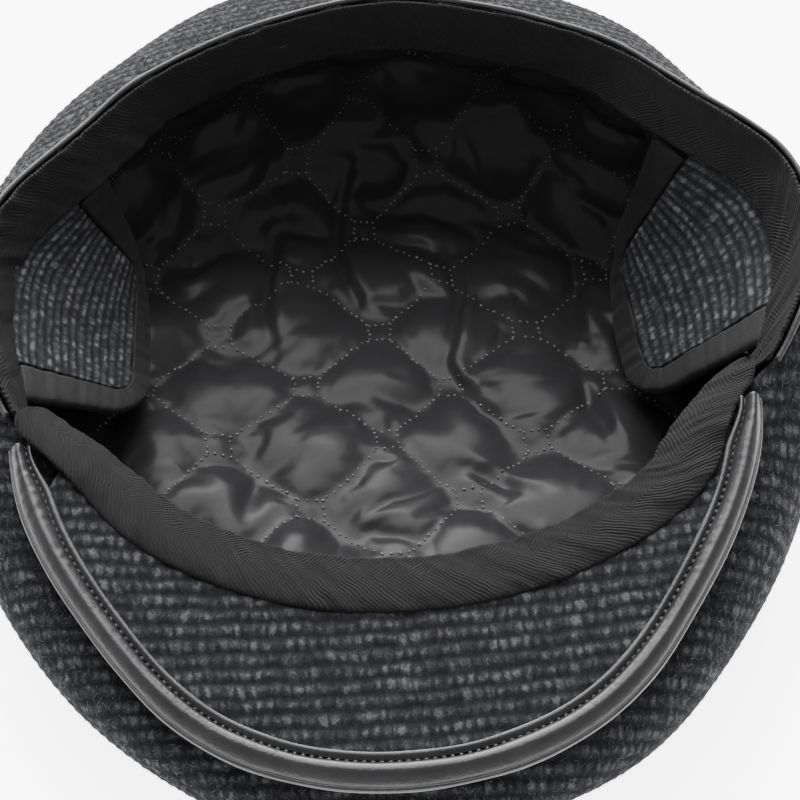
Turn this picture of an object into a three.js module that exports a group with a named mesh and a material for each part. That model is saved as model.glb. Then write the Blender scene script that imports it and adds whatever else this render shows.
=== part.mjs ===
// A flat cap with ear flaps, lying upside down on its crown: +Z up, peak towards -Y, millimetres.
// The origin is on the table under the middle of the head opening. Every piece is one closed wall
// of cloth, felt or leather, worked out from the outlines of the rim, the peak and the crown.
import * as THREE from 'three';

// ---- driving dimensions ----

// The rim is the seam between the wool and the sweatband, a rounded diamond seen from above.
const RIM = { half: 103, front: 91, back: 80.5, frontPower: 0.97, backPower: 1.18 };
const RIM_PINCH = { depth: 5, frontAt: 38, frontSpread: 10, backAt: 33, backSpread: 14 };
const RIM_SWAY = { shift: 3, at: 29, spread: 14 };
const RIM_HEIGHT = { centre: 55, slope: 0.1817, lean: 0.08, arch: 11, backRise: 8 };

// The crown at its widest, and the patch of it that lies flat on the table.
const CROWN = { half: 107, front: 137, back: 108.5, frontPower: 0.97, backPower: 0.92, skew: 4 };
const CROWN_HEIGHT = { side: 33, front: 14, back: 58 };
const BULGE = { out: 3.5, at: -140, spread: 30 };
const PATCH = { share: 0.72, centreY: -14 };
const WOOL = 2.2;
const UNDER_PEAK = { inset: 4, drop: 4.4 };

// The lining hangs inside the crown as a smaller bowl.
const LINING = { half: 98, front: 100, back: 97, frontPower: 0.95, backPower: 1, skew: 3 };
const LINING_HEIGHT = { side: 30, front: 17, back: 42 };
const LINING_WALL = { thick: 2.7, floor: 2.9, inset: 3.2, frontInset: 8.5, outAtFlaps: 0.6 };
const LINING_DROP = { back: 12, flaps: 22, front: 3 };

// The peak is a stiff plate whose outer line is a superellipse from corner to corner.
const PEAK = { half: 89, corner: -45, front: 134.8, power: 2.08, shift: -5 };
const PEAK_FLAT = { depth: 5, at: 56, spread: 22 };
const PEAK_PLATE = { thick: 3, underTape: 4, reach: 0.9, cornerAngle: 61 };
const LEATHER = { roll: 2.4, width: 7.1, flange: 1.7, reachLeft: 0.985, reachRight: 0.985 };

// Sweatband tape along the front and round the back, and the cord on the rim's edge.
const FRONT_TAPE = { width: 17.5, over: 1, lift: 0.7, endLift: 1.4, dip: 3, reach: 64, round: 4.2 };
const BACK_TAPE = { width: 13, inset: 2.8, above: 0.6, slant: 0.3, slantAtFlaps: 0.55, reach: 112 };
const TAPE = 1.1;
const CORD = { radius: 0.75, inset: 1.4, above: 1.15 };

// Ear flaps folded down inside, with bias tape round the free edge.
const FLAP = { thick: 2.6, inset: 6.8, drop: 10.4, cornerAlong: 0.24, cornerDown: 0.26 };
const FLAP_RIM = { front: -18, back: 36 };
const FLAP_FOOT = { x: 61, shift: 1.5, bow: 2, front: -9, back: 49, z: 12, rise: 5 };
const EDGE_TAPE = { thick: 3.2, along: 0.1, down: 0.115, gap: 0.01, start: 0.09 };

// The number of facets round the cap and along a piece.
const ROUND = 60;
const LONG = 44;

// ---- small helpers ----

const radians = THREE.MathUtils.degToRad;
const degrees = THREE.MathUtils.radToDeg;
const V = (x, y, z) => new THREE.Vector3(x, y, z);
const power = (value, exponent) => Math.sign(value) * Math.abs(value) ** exponent;
const bell = (value, centre, spread) => Math.exp(-(((value - centre) / spread) ** 2));
const mix = THREE.MathUtils.lerp;
const count = (number) => Array.from({ length: number }, (_, index) => index);
const steps = (from, to, number) => count(number + 1).map((k) => mix(from, to, k / number));

// An angle in degrees, turned into -180 to 180 from the front of the cap.
const fromFront = (angle) => THREE.MathUtils.euclideanModulo(degrees(angle) + 270, 360) - 180;

// 1 along the peak, falling to 0 past its corners.
const alongPeak = (angle) => 1 - THREE.MathUtils.smoothstep(Math.abs(fromFront(angle)), 58, 72);

// 1 along the ear flaps, falling to 0 in front of them and behind them.
function alongFlaps(angle) {
  const fromSide = Math.abs(Math.abs(fromFront(angle)) - 97);
  return 1 - THREE.MathUtils.smoothstep(fromSide, 33, 52);
}

// Points and triangles as a geometry that faces outwards.
function bodyFrom(points, index) {
  let volume = 0;
  for (let i = 0; i < index.length; i += 3) {
    const [a, b, c] = [points[index[i]], points[index[i + 1]], points[index[i + 2]]];
    volume += a.dot(b.clone().cross(c));
  }
  if (volume < 0) index.reverse();
  const geometry = new THREE.BufferGeometry().setFromPoints(points);
  geometry.setIndex(index);
  geometry.computeVertexNormals();
  return geometry;
}

// A bar from its rings: each ring is joined to the next, and a strip across each end ring closes
// it. A ring runs along the top of the section and back along the bottom.
function barFrom(rings) {
  const size = rings[0].length;
  const index = [];
  count(rings.length - 1).forEach((ring) => {
    count(size).forEach((point) => {
      const [a, b] = [ring * size + point, ring * size + ((point + 1) % size)];
      index.push(a, b, b + size, a, b + size, a + size);
    });
  });
  const last = (rings.length - 1) * size;
  count(size / 2 - 1).forEach((point) => {
    const [a, b, c, d] = [point, point + 1, size - 2 - point, size - 1 - point];
    index.push(a, c, b, a, d, c);
    index.push(last + a, last + b, last + c, last + a, last + c, last + d);
  });
  return bodyFrom(rings.flat(), index);
}

// A bowl from its sections, one for each angle: a section runs from the pole on the outside, over
// the edge, to the pole on the inside, and all sections share both poles.
function bowlFrom(sections) {
  const rings = sections.map((section) => section.slice(1, -1));
  const size = rings[0].length;
  const points = rings.flat();
  const [outside, inside] = [points.length, points.length + 1];
  points.push(sections[0][0], sections[0].at(-1));
  const index = [];
  count(rings.length).forEach((turn) => {
    const here = turn * size;
    const next = ((turn + 1) % rings.length) * size;
    index.push(outside, next, here, inside, here + size - 1, next + size - 1);
    count(size - 1).forEach((point) => {
      index.push(here + point, next + point, next + point + 1);
      index.push(here + point, next + point + 1, here + point + 1);
    });
  });
  return bodyFrom(points, index);
}

// The unit normal of surface(a, b), from a small step each way.
function normalOf(surface, a, b) {
  const step = 0.004;
  const alongA = surface(a + step, b).sub(surface(a - step, b));
  const alongB = surface(a, b + step).sub(surface(a, b - step));
  return alongA.cross(alongB).normalize();
}

// A point of a cubic curve with four control points.
function cubic(p0, p1, p2, p3, share) {
  return new THREE.CubicBezierCurve3(p0, p1, p2, p3).getPoint(share);
}

// ---- outlines ----

// Height of the sheet that the rim and the peak lie in: it slopes up to the back, leans to one
// side and arches up at both sides.
function sheetHeight(x, y) {
  const { centre, slope, lean, arch } = RIM_HEIGHT;
  return centre + slope * y + lean * x + arch * (x / 100) ** 2;
}

// The rim at an angle in radians: 0 is +X and a quarter turn is the back.
function rimAt(angle) {
  const [c, s] = [Math.cos(angle), Math.sin(angle)];
  const isBack = s > 0;
  const { depth, frontAt, frontSpread, backAt, backSpread } = RIM_PINCH;
  const steep = degrees(Math.atan2(Math.abs(s), Math.abs(c)));
  const pinch = depth * (isBack ? bell(steep, backAt, backSpread) : bell(steep, frontAt, frontSpread));
  const sway = isBack ? 0 : RIM_SWAY.shift * bell(steep, RIM_SWAY.at, RIM_SWAY.spread);
  const x = RIM.half * power(c, isBack ? RIM.backPower : RIM.frontPower) - Math.sign(c) * pinch - sway;
  const y = (isBack ? RIM.back : RIM.front) * s;
  return V(x, y, sheetHeight(x, y) + RIM_HEIGHT.backRise * Math.max(0, s) ** 4);
}

// The rim moved towards the head opening by inset, and down by drop.
function nearRim(angle, inset, drop) {
  const along = rimAt(angle + 0.02).sub(rimAt(angle - 0.02)).setZ(0).normalize();
  return rimAt(angle).add(V(-along.y * inset, along.x * inset, -drop));
}

// A widest outline round the cap, from its half width and its front and back lengths.
function widestAt(angle, size, height) {
  const [c, s] = [Math.cos(angle), Math.sin(angle)];
  const isBack = s > 0;
  const x = size.half * power(c, isBack ? size.backPower : size.frontPower) + size.skew * s;
  const y = (isBack ? size.back : size.front) * s;
  return V(x, y, mix(height.side, isBack ? height.back : height.front, s * s));
}

// The crown at its widest, fuller on the side that it leans to.
function crownWidest(angle) {
  const away = THREE.MathUtils.euclideanModulo(degrees(angle) - BULGE.at + 180, 360) - 180;
  const out = BULGE.out * bell(away, 0, BULGE.spread);
  const direction = V(Math.cos(radians(BULGE.at)), Math.sin(radians(BULGE.at)), 0);
  return widestAt(angle, CROWN, CROWN_HEIGHT).addScaledVector(direction, out);
}

// The outer line of the peak, from -1 at one corner to 1 at the other.
function peakLine(share) {
  const turn = share * Math.PI / 2;
  const flat = PEAK_FLAT.depth * bell(Math.abs(degrees(turn)), PEAK_FLAT.at, PEAK_FLAT.spread);
  const out = PEAK.half * power(Math.sin(turn), 2 / PEAK.power) - Math.sign(turn) * flat;
  const x = out + PEAK.shift;
  const y = PEAK.corner - (PEAK.front + PEAK.corner) * power(Math.cos(turn), 2 / PEAK.power);
  return V(x, y, sheetHeight(x, y));
}

// The peak's line moved inwards by inset, at a height above the sheet.
function nearPeakLine(share, inset, above) {
  const along = peakLine(Math.min(share + 0.01, 1)).sub(peakLine(Math.max(share - 0.01, -1)));
  along.setZ(0).normalize();
  const point = peakLine(share).add(V(-along.y * inset, along.x * inset, 0));
  return point.setZ(sheetHeight(point.x, point.y) + above);
}

// ---- crown and lining ----

// The lower half of a bowl: from its widest line down to the flat patch at a floor height.
function towardsPatch(widest, floor, share) {
  const turn = share * Math.PI / 2;
  const x = mix(widest.x, widest.x * PATCH.share, 1 - Math.cos(turn));
  const y = mix(widest.y, mix(PATCH.centreY, widest.y, PATCH.share), 1 - Math.cos(turn));
  return V(x, y, mix(widest.z, floor, Math.sin(turn)));
}

// The outside of the crown: level 0 is the rim, 1 the widest line and 2 the edge of the patch.
function crownSurface(angle, level) {
  const widest = crownWidest(angle);
  if (level > 1) return towardsPatch(widest, 0, Math.min(level - 1, 1));
  const tuck = alongPeak(angle);
  const rim = nearRim(angle, UNDER_PEAK.inset * tuck, UNDER_PEAK.drop * tuck);
  const fall = rim.z - widest.z;
  const first = rim.clone().lerp(widest, 0.55).setZ(rim.z - 0.25 * fall);
  const second = widest.clone().setZ(widest.z + 0.5 * fall);
  return cubic(rim, first, second, widest, Math.max(level, 0));
}

// The outside of the lining, on the same levels.
function liningSurface(angle, level) {
  const widest = widestAt(angle, LINING, LINING_HEIGHT);
  if (level > 1) return towardsPatch(widest, LINING_WALL.floor, Math.min(level - 1, 1));
  const [tuck, behind] = [alongPeak(angle), alongFlaps(angle)];
  const inset = mix(LINING_WALL.inset, LINING_WALL.frontInset, tuck);
  const drop = mix(mix(LINING_DROP.back, LINING_DROP.flaps, behind), LINING_DROP.front, tuck);
  const rim = nearRim(angle, inset, drop);
  const fall = rim.z - widest.z;
  const first = rim.clone().lerp(widest, LINING_WALL.outAtFlaps * behind).setZ(rim.z - 0.35 * fall);
  const second = widest.clone().setZ(widest.z + 0.4 * fall);
  return cubic(rim, first, second, widest, Math.max(level, 0));
}

// A bowl of even thickness under one of the two surfaces, closed over its flat patch.
function bowlWall(surface, thick, floor, levels) {
  const centre = V(0, PATCH.centreY, floor);
  const sections = count(ROUND).map((turn) => {
    const angle = turn / ROUND * 2 * Math.PI;
    const outside = levels.map((level) => surface(angle, level));
    const inside = levels.map((level, k) => outside[k].clone()
      .addScaledVector(normalOf(surface, angle, level), thick));
    const half = outside[0].clone().lerp(centre, 0.5);
    const halfInside = half.clone().setZ(floor + thick);
    const centreInside = centre.clone().setZ(floor + thick);
    return [centre, half, ...outside, ...inside.toReversed(), halfInside, centreInside];
  });
  return bowlFrom(sections);
}

const CROWN_LEVELS = [2, 1.75, 1.5, 1.25, 1, 0.8, 0.6, 0.4, 0.2, 0];
const LINING_LEVELS = [2, 1.75, 1.5, 1.25, 1, 0.65, 0.3, 0];
const crown = () => bowlWall(crownSurface, WOOL, 0, CROWN_LEVELS);
const lining = () => bowlWall(liningSurface, LINING_WALL.thick, LINING_WALL.floor, LINING_LEVELS);

// ---- peak and its leather edge ----

// The angle on the rim that goes with a place along the peak.
const seamAngle = (share) => radians(-90 + PEAK_PLATE.cornerAngle * share);

function peak() {
  const rings = steps(-PEAK_PLATE.reach, PEAK_PLATE.reach, LONG).map((share) => {
    const inner = nearRim(seamAngle(share), PEAK_PLATE.underTape, 0);
    const outer = nearPeakLine(share, LEATHER.width + 0.35, 0);
    const top = steps(0, 1, 3).map((across) => {
      const point = inner.clone().lerp(outer, across);
      return point.setZ(sheetHeight(point.x, point.y));
    });
    const bottom = top.map((point) => point.clone().add(V(0, 0, -PEAK_PLATE.thick)));
    return [...top, ...bottom.toReversed()];
  });
  return barFrom(rings);
}

// The leather is a round roll along the edge with a flat flange on its inner side.
function peakBinding() {
  const roll = [20, 65, 110, 145].map((turn) => [
    LEATHER.roll * (1 - Math.cos(radians(turn))),
    Math.max(LEATHER.roll * Math.sin(radians(turn)), turn > 120 ? LEATHER.flange : 0),
  ]);
  const half = [...roll, [LEATHER.width, LEATHER.flange]];
  const middle = -PEAK_PLATE.thick / 2;
  const rings = steps(-LEATHER.reachLeft, LEATHER.reachRight, LONG + 8).map((share) => {
    const top = half.map(([inset, above]) => nearPeakLine(share, inset, middle + above));
    const bottom = half.map(([inset, above]) => nearPeakLine(share, inset, middle - above));
    return [...top, ...bottom.toReversed()];
  });
  return barFrom(rings);
}

// ---- sweatband tape and rim cord ----

// The front tape lies over the peak's seam, with both ends rounded.
function frontTape() {
  const { width, over, lift, endLift, dip, reach, round } = FRONT_TAPE;
  const angles = [-reach, -reach + 0.8, -reach + 2, ...steps(-reach + round, reach - round, LONG - 6),
    reach - 2, reach - 0.8, reach];
  const rings = angles.map((turn) => {
    const end = Math.max(0, Math.abs(turn) - (reach - round)) / (round * 1.03);
    const narrow = Math.sqrt(1 - end * end);
    const clear = mix(lift, endLift, THREE.MathUtils.smoothstep(Math.abs(turn), 44, 56)) + TAPE;
    const top = steps(-1, 1, 4).map((across) => {
      const inset = width / 2 - over + across * narrow * width / 2;
      const point = nearRim(radians(turn - 90), inset, 0);
      const fall = dip * ((inset + over) / width) ** 2;
      return point.setZ(sheetHeight(point.x, point.y) + clear - fall);
    });
    const bottom = top.map((point) => point.clone().add(V(0, 0, -TAPE)));
    return [...top, ...bottom.toReversed()];
  });
  return barFrom(rings);
}

// The back tape hangs inside the rim, and stands off further where the ear flaps are behind it.
function backTape() {
  const rings = steps(-BACK_TAPE.reach, BACK_TAPE.reach, LONG + 6).map((turn) => {
    const angle = radians(90 + turn);
    const slant = mix(BACK_TAPE.slant, BACK_TAPE.slantAtFlaps, alongFlaps(angle));
    const place = (down, out) => nearRim(
      angle,
      BACK_TAPE.inset + down * Math.sin(slant) + out * Math.cos(slant),
      -BACK_TAPE.above + down * Math.cos(slant) - out * Math.sin(slant),
    );
    const downs = steps(0, BACK_TAPE.width, 2);
    return [...downs.map((down) => place(down, TAPE)), ...downs.toReversed().map((down) => place(down, 0))];
  });
  return barFrom(rings);
}

function rimCord() {
  const rings = steps(-BACK_TAPE.reach, BACK_TAPE.reach, LONG + 6).map((turn) => {
    const angle = radians(90 + turn);
    return count(6).map((k) => {
      const around = radians(k * 60);
      const inset = CORD.inset - CORD.radius * Math.cos(around);
      return nearRim(angle, inset, -CORD.above - CORD.radius * Math.sin(around));
    });
  });
  return barFrom(rings);
}

// ---- ear flaps ----

// The middle of a flap's cloth: along runs 0 to 1 from its front to its back, down runs from the
// rim to its foot. Side is 1 for the flap at +X and -1 for the flap at -X.
function flapSurface(side, along, down) {
  const turn = mix(FLAP_RIM.front, FLAP_RIM.back, along);
  const top = nearRim(radians(side > 0 ? turn : 180 - turn), FLAP.inset, FLAP.drop);
  const toEnds = (2 * along - 1) ** 2;
  const foot = V(
    side * (FLAP_FOOT.x + FLAP_FOOT.bow * toEnds) + FLAP_FOOT.shift,
    mix(FLAP_FOOT.front, FLAP_FOOT.back, along),
    FLAP_FOOT.z + FLAP_FOOT.rise * toEnds,
  );
  return top.lerp(foot, down);
}

// A point of a flap's cloth, moved off its middle by out millimetres.
function offFlap(side, along, down, out) {
  const surface = (a, b) => flapSurface(side, a, b);
  return surface(along, down).addScaledVector(normalOf(surface, along, down), out);
}

// A flap's foot as pairs of along and down: a quarter of an ellipse at each corner and a straight
// line between them. Margins bring the front, back and foot edges in.
function flapFoot(marginAlong, marginDown) {
  const [wide, tall] = [FLAP.cornerAlong - marginAlong, FLAP.cornerDown - marginDown];
  const corner = steps(0, 90, 6).map((turn) => [
    FLAP.cornerAlong - wide * Math.cos(radians(turn)),
    1 - FLAP.cornerDown + tall * Math.sin(radians(turn)),
  ]);
  const straight = steps(FLAP.cornerAlong, 1 - FLAP.cornerAlong, 5).slice(1, -1);
  return [
    ...corner,
    ...straight.map((along) => [along, 1 - marginDown]),
    ...corner.toReversed().map(([along, down]) => [1 - along, down]),
  ];
}

function earFlap(side) {
  const foot = flapFoot(EDGE_TAPE.along + EDGE_TAPE.gap, EDGE_TAPE.down + EDGE_TAPE.gap);
  const rings = foot.map(([along, reach]) => {
    const downs = steps(0, reach, 4);
    const top = downs.map((down) => offFlap(side, along, down, FLAP.thick / 2));
    const bottom = downs.map((down) => offFlap(side, along, down, -FLAP.thick / 2));
    return [...top, ...bottom.toReversed()];
  });
  return barFrom(rings);
}

// The line along a flap's free edge: down its front, round its foot and up its back.
function flapEdge(marginAlong, marginDown) {
  const side = steps(EDGE_TAPE.start, 1 - FLAP.cornerDown, 4).slice(0, -1);
  const down = side.map((place) => [marginAlong, place]);
  const up = side.toReversed().map((place) => [1 - marginAlong, place]);
  return [...down, ...flapFoot(marginAlong, marginDown), ...up];
}

function flapBinding(side) {
  const outer = flapEdge(0, 0);
  const inner = flapEdge(EDGE_TAPE.along, EDGE_TAPE.down);
  const half = EDGE_TAPE.thick / 2;
  const rings = outer.map(([along, down], k) => [
    offFlap(side, along, down, half),
    offFlap(side, ...inner[k], half),
    offFlap(side, ...inner[k], -half),
    offFlap(side, along, down, -half),
  ]);
  return barFrom(rings);
}

// ---- materials and assembly ----

const finish = (color, roughness) => new THREE.MeshStandardMaterial({ color, roughness, metalness: 0 });
const wool = finish('#3a3b3d', 0.95);
const satin = finish('#1b1b1d', 0.35);
const leather = finish('#1d1d1f', 0.42);
const tape = finish('#2b2b2c', 0.85);
const bias = finish('#19191b', 0.7);
const cord = finish('#4c4b4f', 0.7);

const cap = new THREE.Group();

function add(name, geometry, material) {
  const mesh = new THREE.Mesh(geometry, material);
  mesh.name = name;
  cap.add(mesh);
}

add('crown', crown(), wool);
add('lining', lining(), satin);
add('peak', peak(), wool);
add('peak_binding', peakBinding(), leather);
add('sweatband_front', frontTape(), tape);
add('sweatband_back', backTape(), tape);
add('rim_piping', rimCord(), cord);
[['left', -1], ['right', 1]].forEach(([name, side]) => {
  add(`ear_flap_${name}`, earFlap(side), wool);
  add(`flap_binding_${name}`, flapBinding(side), bias);
});

export default cap;
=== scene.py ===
# %% [markdown]
# # A flat cap with ear flaps, lying upside down
#
# The cap lies on the top of its crown, so we look into it: a stiff peak with a rolled leather
# edge, a quilted satin lining, sweatband tape round the opening, and two ear flaps folded inside.
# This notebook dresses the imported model. Each cloth or leather part gets a finer surface that
# takes the place of its plain solid, and all of them share one frame: the origin is on the table
# under the head opening, +Z is up and the peak points to -Y.
#
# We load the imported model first, because everything else is measured against it.

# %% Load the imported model
import math

import bpy
import numpy as np
from mathutils import Matrix


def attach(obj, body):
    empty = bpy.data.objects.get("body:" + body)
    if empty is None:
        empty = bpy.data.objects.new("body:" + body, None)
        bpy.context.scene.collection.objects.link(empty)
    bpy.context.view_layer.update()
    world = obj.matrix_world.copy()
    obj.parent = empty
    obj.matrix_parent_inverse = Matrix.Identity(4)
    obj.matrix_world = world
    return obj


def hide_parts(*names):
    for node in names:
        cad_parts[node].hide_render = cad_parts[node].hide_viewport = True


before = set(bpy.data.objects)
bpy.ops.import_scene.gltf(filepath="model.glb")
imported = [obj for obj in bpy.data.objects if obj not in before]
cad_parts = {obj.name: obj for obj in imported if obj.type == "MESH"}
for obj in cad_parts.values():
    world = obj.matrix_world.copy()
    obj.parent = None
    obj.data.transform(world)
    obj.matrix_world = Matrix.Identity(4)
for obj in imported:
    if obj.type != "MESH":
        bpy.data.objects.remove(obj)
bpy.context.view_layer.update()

print("nodes:", ", ".join(sorted(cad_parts)))

# %% [markdown]
# ## Small tools for arrays
#
# Every surface here is a formula, worked out for thousands of points at once with numpy. The
# formulas use millimetres, which are easy to read for a cap, and a mesh is made in metres at the
# very end. These helpers are the vocabulary: a smooth ramp, a bell, a mix of two values, vectors.

# %% Helpers for numbers
MM = 0.001


def power(value, exponent):
    """Raises the size of a number to a power and keeps its sign."""
    return np.sign(value) * np.abs(value) ** exponent


def bell(value, centre, spread):
    """1 at the centre, falling to 0 on both sides: e to the minus square of the distance."""
    return np.exp(-(((value - centre) / spread) ** 2))


def ramp(value, low, high):
    """0 below low, 1 above high, and a smooth S between them."""
    share = np.clip((value - low) / (high - low), 0, 1)
    return share * share * (3 - 2 * share)


def mix(a, b, share):
    """The value at a share of the way from a to b."""
    return a + (b - a) * share


def vectors(x, y, z):
    """Three arrays of coordinates as one array of points."""
    return np.stack(np.broadcast_arrays(x, y, z), axis=-1).astype(float)


def unit(v):
    """Vectors scaled to length 1."""
    return v / np.maximum(np.linalg.norm(v, axis=-1, keepdims=True), 1e-9)


def lay(points, z):
    """The same points at another height."""
    return vectors(points[..., 0], points[..., 1], z)


def ripples(points, wavelength, seed, waves=28):
    """Smooth random waves: a sum of plane cosine waves whose directions and phases are random and
    whose lengths lie around the wavelength. The result is mostly between -1 and 1."""
    draw = np.random.default_rng(seed)
    size = points.shape[-1]
    directions = unit(draw.normal(size=(waves, size)))
    lengths = wavelength * draw.uniform(0.7, 1.6, (waves, 1))
    phases = draw.uniform(0, 2 * np.pi, waves)
    angles = points @ (2 * np.pi * directions / lengths).T + phases
    return np.cos(angles).sum(axis=-1) * math.sqrt(2 / waves) * 0.5


print("ripples of one point:", round(float(ripples(np.zeros(3), 10, 1)), 3))

# %% [markdown]
# ## From a grid of points to a mesh
#
# A piece of cloth has two sides and a rounded edge. `wall` takes the grid of points of its upper
# side, offsets it along the normals for the lower side, and rounds the free edges between them.
# `new_piece` writes points, faces and cloth coordinates into a Blender mesh with foreach_set,
# hangs the piece on its body and hides the solid that it takes the place of. The cloth coordinates
# are a UV map measured in metres, so a weave has the same size on every piece.

# %% Grids and meshes


def normals_of(points, closed=False):
    """Unit normals of a grid of points: the cross product of the steps along rows and columns.
    A closed grid joins its last row to its first."""
    if closed:
        along = np.roll(points, -1, axis=0) - np.roll(points, 1, axis=0)
    else:
        along = np.gradient(points, axis=0)
    return unit(np.cross(along, np.gradient(points, axis=1)))


def grid_faces(rows, columns, closed_rows=False, closed_columns=False):
    """Four-cornered faces between the neighbours of a grid, numbered row by row."""
    r = np.arange(rows if closed_rows else rows - 1)[:, None]
    c = np.arange(columns if closed_columns else columns - 1)[None, :]
    next_r, next_c = (r + 1) % rows, (c + 1) % columns
    corners = [r * columns + c, next_r * columns + c, next_r * columns + next_c, r * columns + next_c]
    return np.stack(np.broadcast_arrays(*corners), axis=-1).reshape(-1, 4)


def enclosed(points, faces):
    """The volume inside closed faces, negative if they point inwards: each face, cut into
    triangles from its first corner, adds a pyramid to the origin."""
    volume = 0
    for corners in faces:
        first = points[corners[:, 0]]
        for k in range(1, corners.shape[1] - 1):
            turned = np.cross(points[corners[:, k]], points[corners[:, k + 1]])
            volume += (first * turned).sum() / 6
    return volume


def new_piece(name, points, faces, material, slot, replaces=(), cloth=None):
    """Makes a smooth-shaded mesh object from points in millimetres. faces is a list of arrays,
    one for each number of corners, turned round if they point inwards. The piece rides on the
    only body and hides the solids that it replaces."""
    faces = faces if isinstance(faces, list) else [faces]
    if enclosed(points, faces) < 0:
        faces = [f[:, ::-1] for f in faces]
    mesh = bpy.data.meshes.new(name)
    mesh.vertices.add(len(points))
    mesh.vertices.foreach_set("co", (points * MM).ravel())
    corners = np.concatenate([f.ravel() for f in faces]).astype(np.int32)
    sizes = np.concatenate([np.full(len(f), f.shape[1]) for f in faces])
    mesh.loops.add(len(corners))
    mesh.loops.foreach_set("vertex_index", corners)
    mesh.polygons.add(len(sizes))
    mesh.polygons.foreach_set("loop_start", np.concatenate([[0], np.cumsum(sizes)[:-1]]).astype(np.int32))
    mesh.update(calc_edges=True)
    mesh.validate()
    mesh.polygons.foreach_set("use_smooth", np.ones(len(sizes), dtype=bool))
    if cloth is not None:
        layer = mesh.uv_layers.new(name="cloth")
        layer.data.foreach_set("uv", (cloth[corners] * MM).ravel())
    piece = bpy.data.objects.new(name, mesh)
    bpy.context.scene.collection.objects.link(piece)
    mesh.materials.append(material)
    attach(piece, "root")
    if replaces:
        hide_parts(*replaces)
    box = np.round([points.min(axis=0), points.max(axis=0)], 1).tolist()
    print(f"{name}: {len(points)} points, {int((sizes - 2).sum())} triangles, box in mm {box}")
    return piece


def wall(points, thick, closed=False, edge=3):
    """The closed skin of a piece of cloth. Its rows run round the section: the upper side, a half
    circle at the far edge, the lower side and a half circle at the near edge. Returns the grid
    of points; the first axis runs along the piece and may be closed."""
    normal = normals_of(points, closed)
    middle = points - normal * thick / 2
    across = unit(np.gradient(points, axis=1))
    turns = np.linspace(0, np.pi, edge + 2)[1:-1]
    far = [middle[:, -1] + (normal[:, -1] * np.cos(t) + across[:, -1] * np.sin(t)) * thick / 2 for t in turns]
    near = [middle[:, 0] - (normal[:, 0] * np.cos(t) + across[:, 0] * np.sin(t)) * thick / 2 for t in turns]
    sides = [points, np.stack(far, axis=1), (points - normal * thick)[:, ::-1], np.stack(near, axis=1)]
    return np.concatenate(sides, axis=1)


def lengths_along(points, axis):
    """Distance travelled along one axis of a grid of points, starting at 0."""
    steps = np.linalg.norm(np.diff(points, axis=axis), axis=-1)
    zero = np.zeros_like(np.take(steps, [0], axis=axis))
    return np.concatenate([zero, np.cumsum(steps, axis=axis)], axis=axis)


def capped(rows, columns):
    """Faces of a tube-like grid whose columns go round, with a strip of faces over each end."""
    half = columns // 2
    k = np.arange(half - 1)
    first = np.stack([k, k + 1, columns - 2 - k, columns - 1 - k], axis=-1)
    last = first[:, ::-1] + (rows - 1) * columns
    return np.concatenate([grid_faces(rows, columns, closed_columns=True), first, last])


def with_ends(skin):
    """Points and faces of a tube of sections that closes to one point in the middle of each end."""
    rows, columns = skin.shape[:2]
    points = np.concatenate([skin.reshape(-1, 3), skin[0].mean(axis=0)[None], skin[-1].mean(axis=0)[None]])
    ring = np.arange(columns)
    after = (ring + 1) % columns
    start = np.stack([np.full(columns, rows * columns), ring, after], axis=-1)
    end = np.stack([np.full(columns, rows * columns + 1), after, ring], axis=-1)
    end[:, 1:] += (rows - 1) * columns
    return points, [grid_faces(rows, columns, closed_columns=True), start, end]


print("a cube has", len(capped(2, 4)), "faces when made as a capped tube")

# %% [markdown]
# ## The outlines of the cap
#
# All pieces hang on three outlines: the rim, where the wool meets the sweatband; the outer line of
# the peak; and the crown at its widest. The rim is a rounded diamond that slopes up to the back,
# leans a little to one side and arches up at both sides. The cap was modelled from the same
# formulas, so the pieces made here fall where its solids are.

# %% The rim, the peak's edge and the widest line
RIM = dict(half=103, front=91, back=80.5, front_power=0.97, back_power=1.18)
RIM_PINCH = dict(depth=5, front_at=38, front_spread=10, back_at=33, back_spread=14)
RIM_SWAY = dict(shift=3, at=29, spread=14)
RIM_HEIGHT = dict(centre=55, slope=0.1817, lean=0.08, arch=11, back_rise=8)
PEAK = dict(half=89, corner=-45, front=134.8, power=2.08, shift=-5)
PEAK_FLAT = dict(depth=5, at=56, spread=22)
CROWN = dict(half=107, front=137, back=108.5, front_power=0.97, back_power=0.92, skew=4)
CROWN_HEIGHT = dict(side=33, front=14, back=58)
LINING = dict(half=98, front=100, back=97, front_power=0.95, back_power=1, skew=3)
LINING_HEIGHT = dict(side=30, front=17, back=42)
BULGE = dict(out=3.5, at=-140, spread=30)
PATCH = dict(share=0.72, centre_y=-14)


def from_front(angle):
    """An angle in radians as degrees from the front of the cap, from -180 to 180."""
    return (np.degrees(angle) + 270) % 360 - 180


def sheet_height(x, y):
    """Height of the sheet that holds rim and peak: a tilted plane with a parabola across it."""
    h = RIM_HEIGHT
    return h["centre"] + h["slope"] * y + h["lean"] * x + h["arch"] * (x / 100) ** 2


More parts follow.
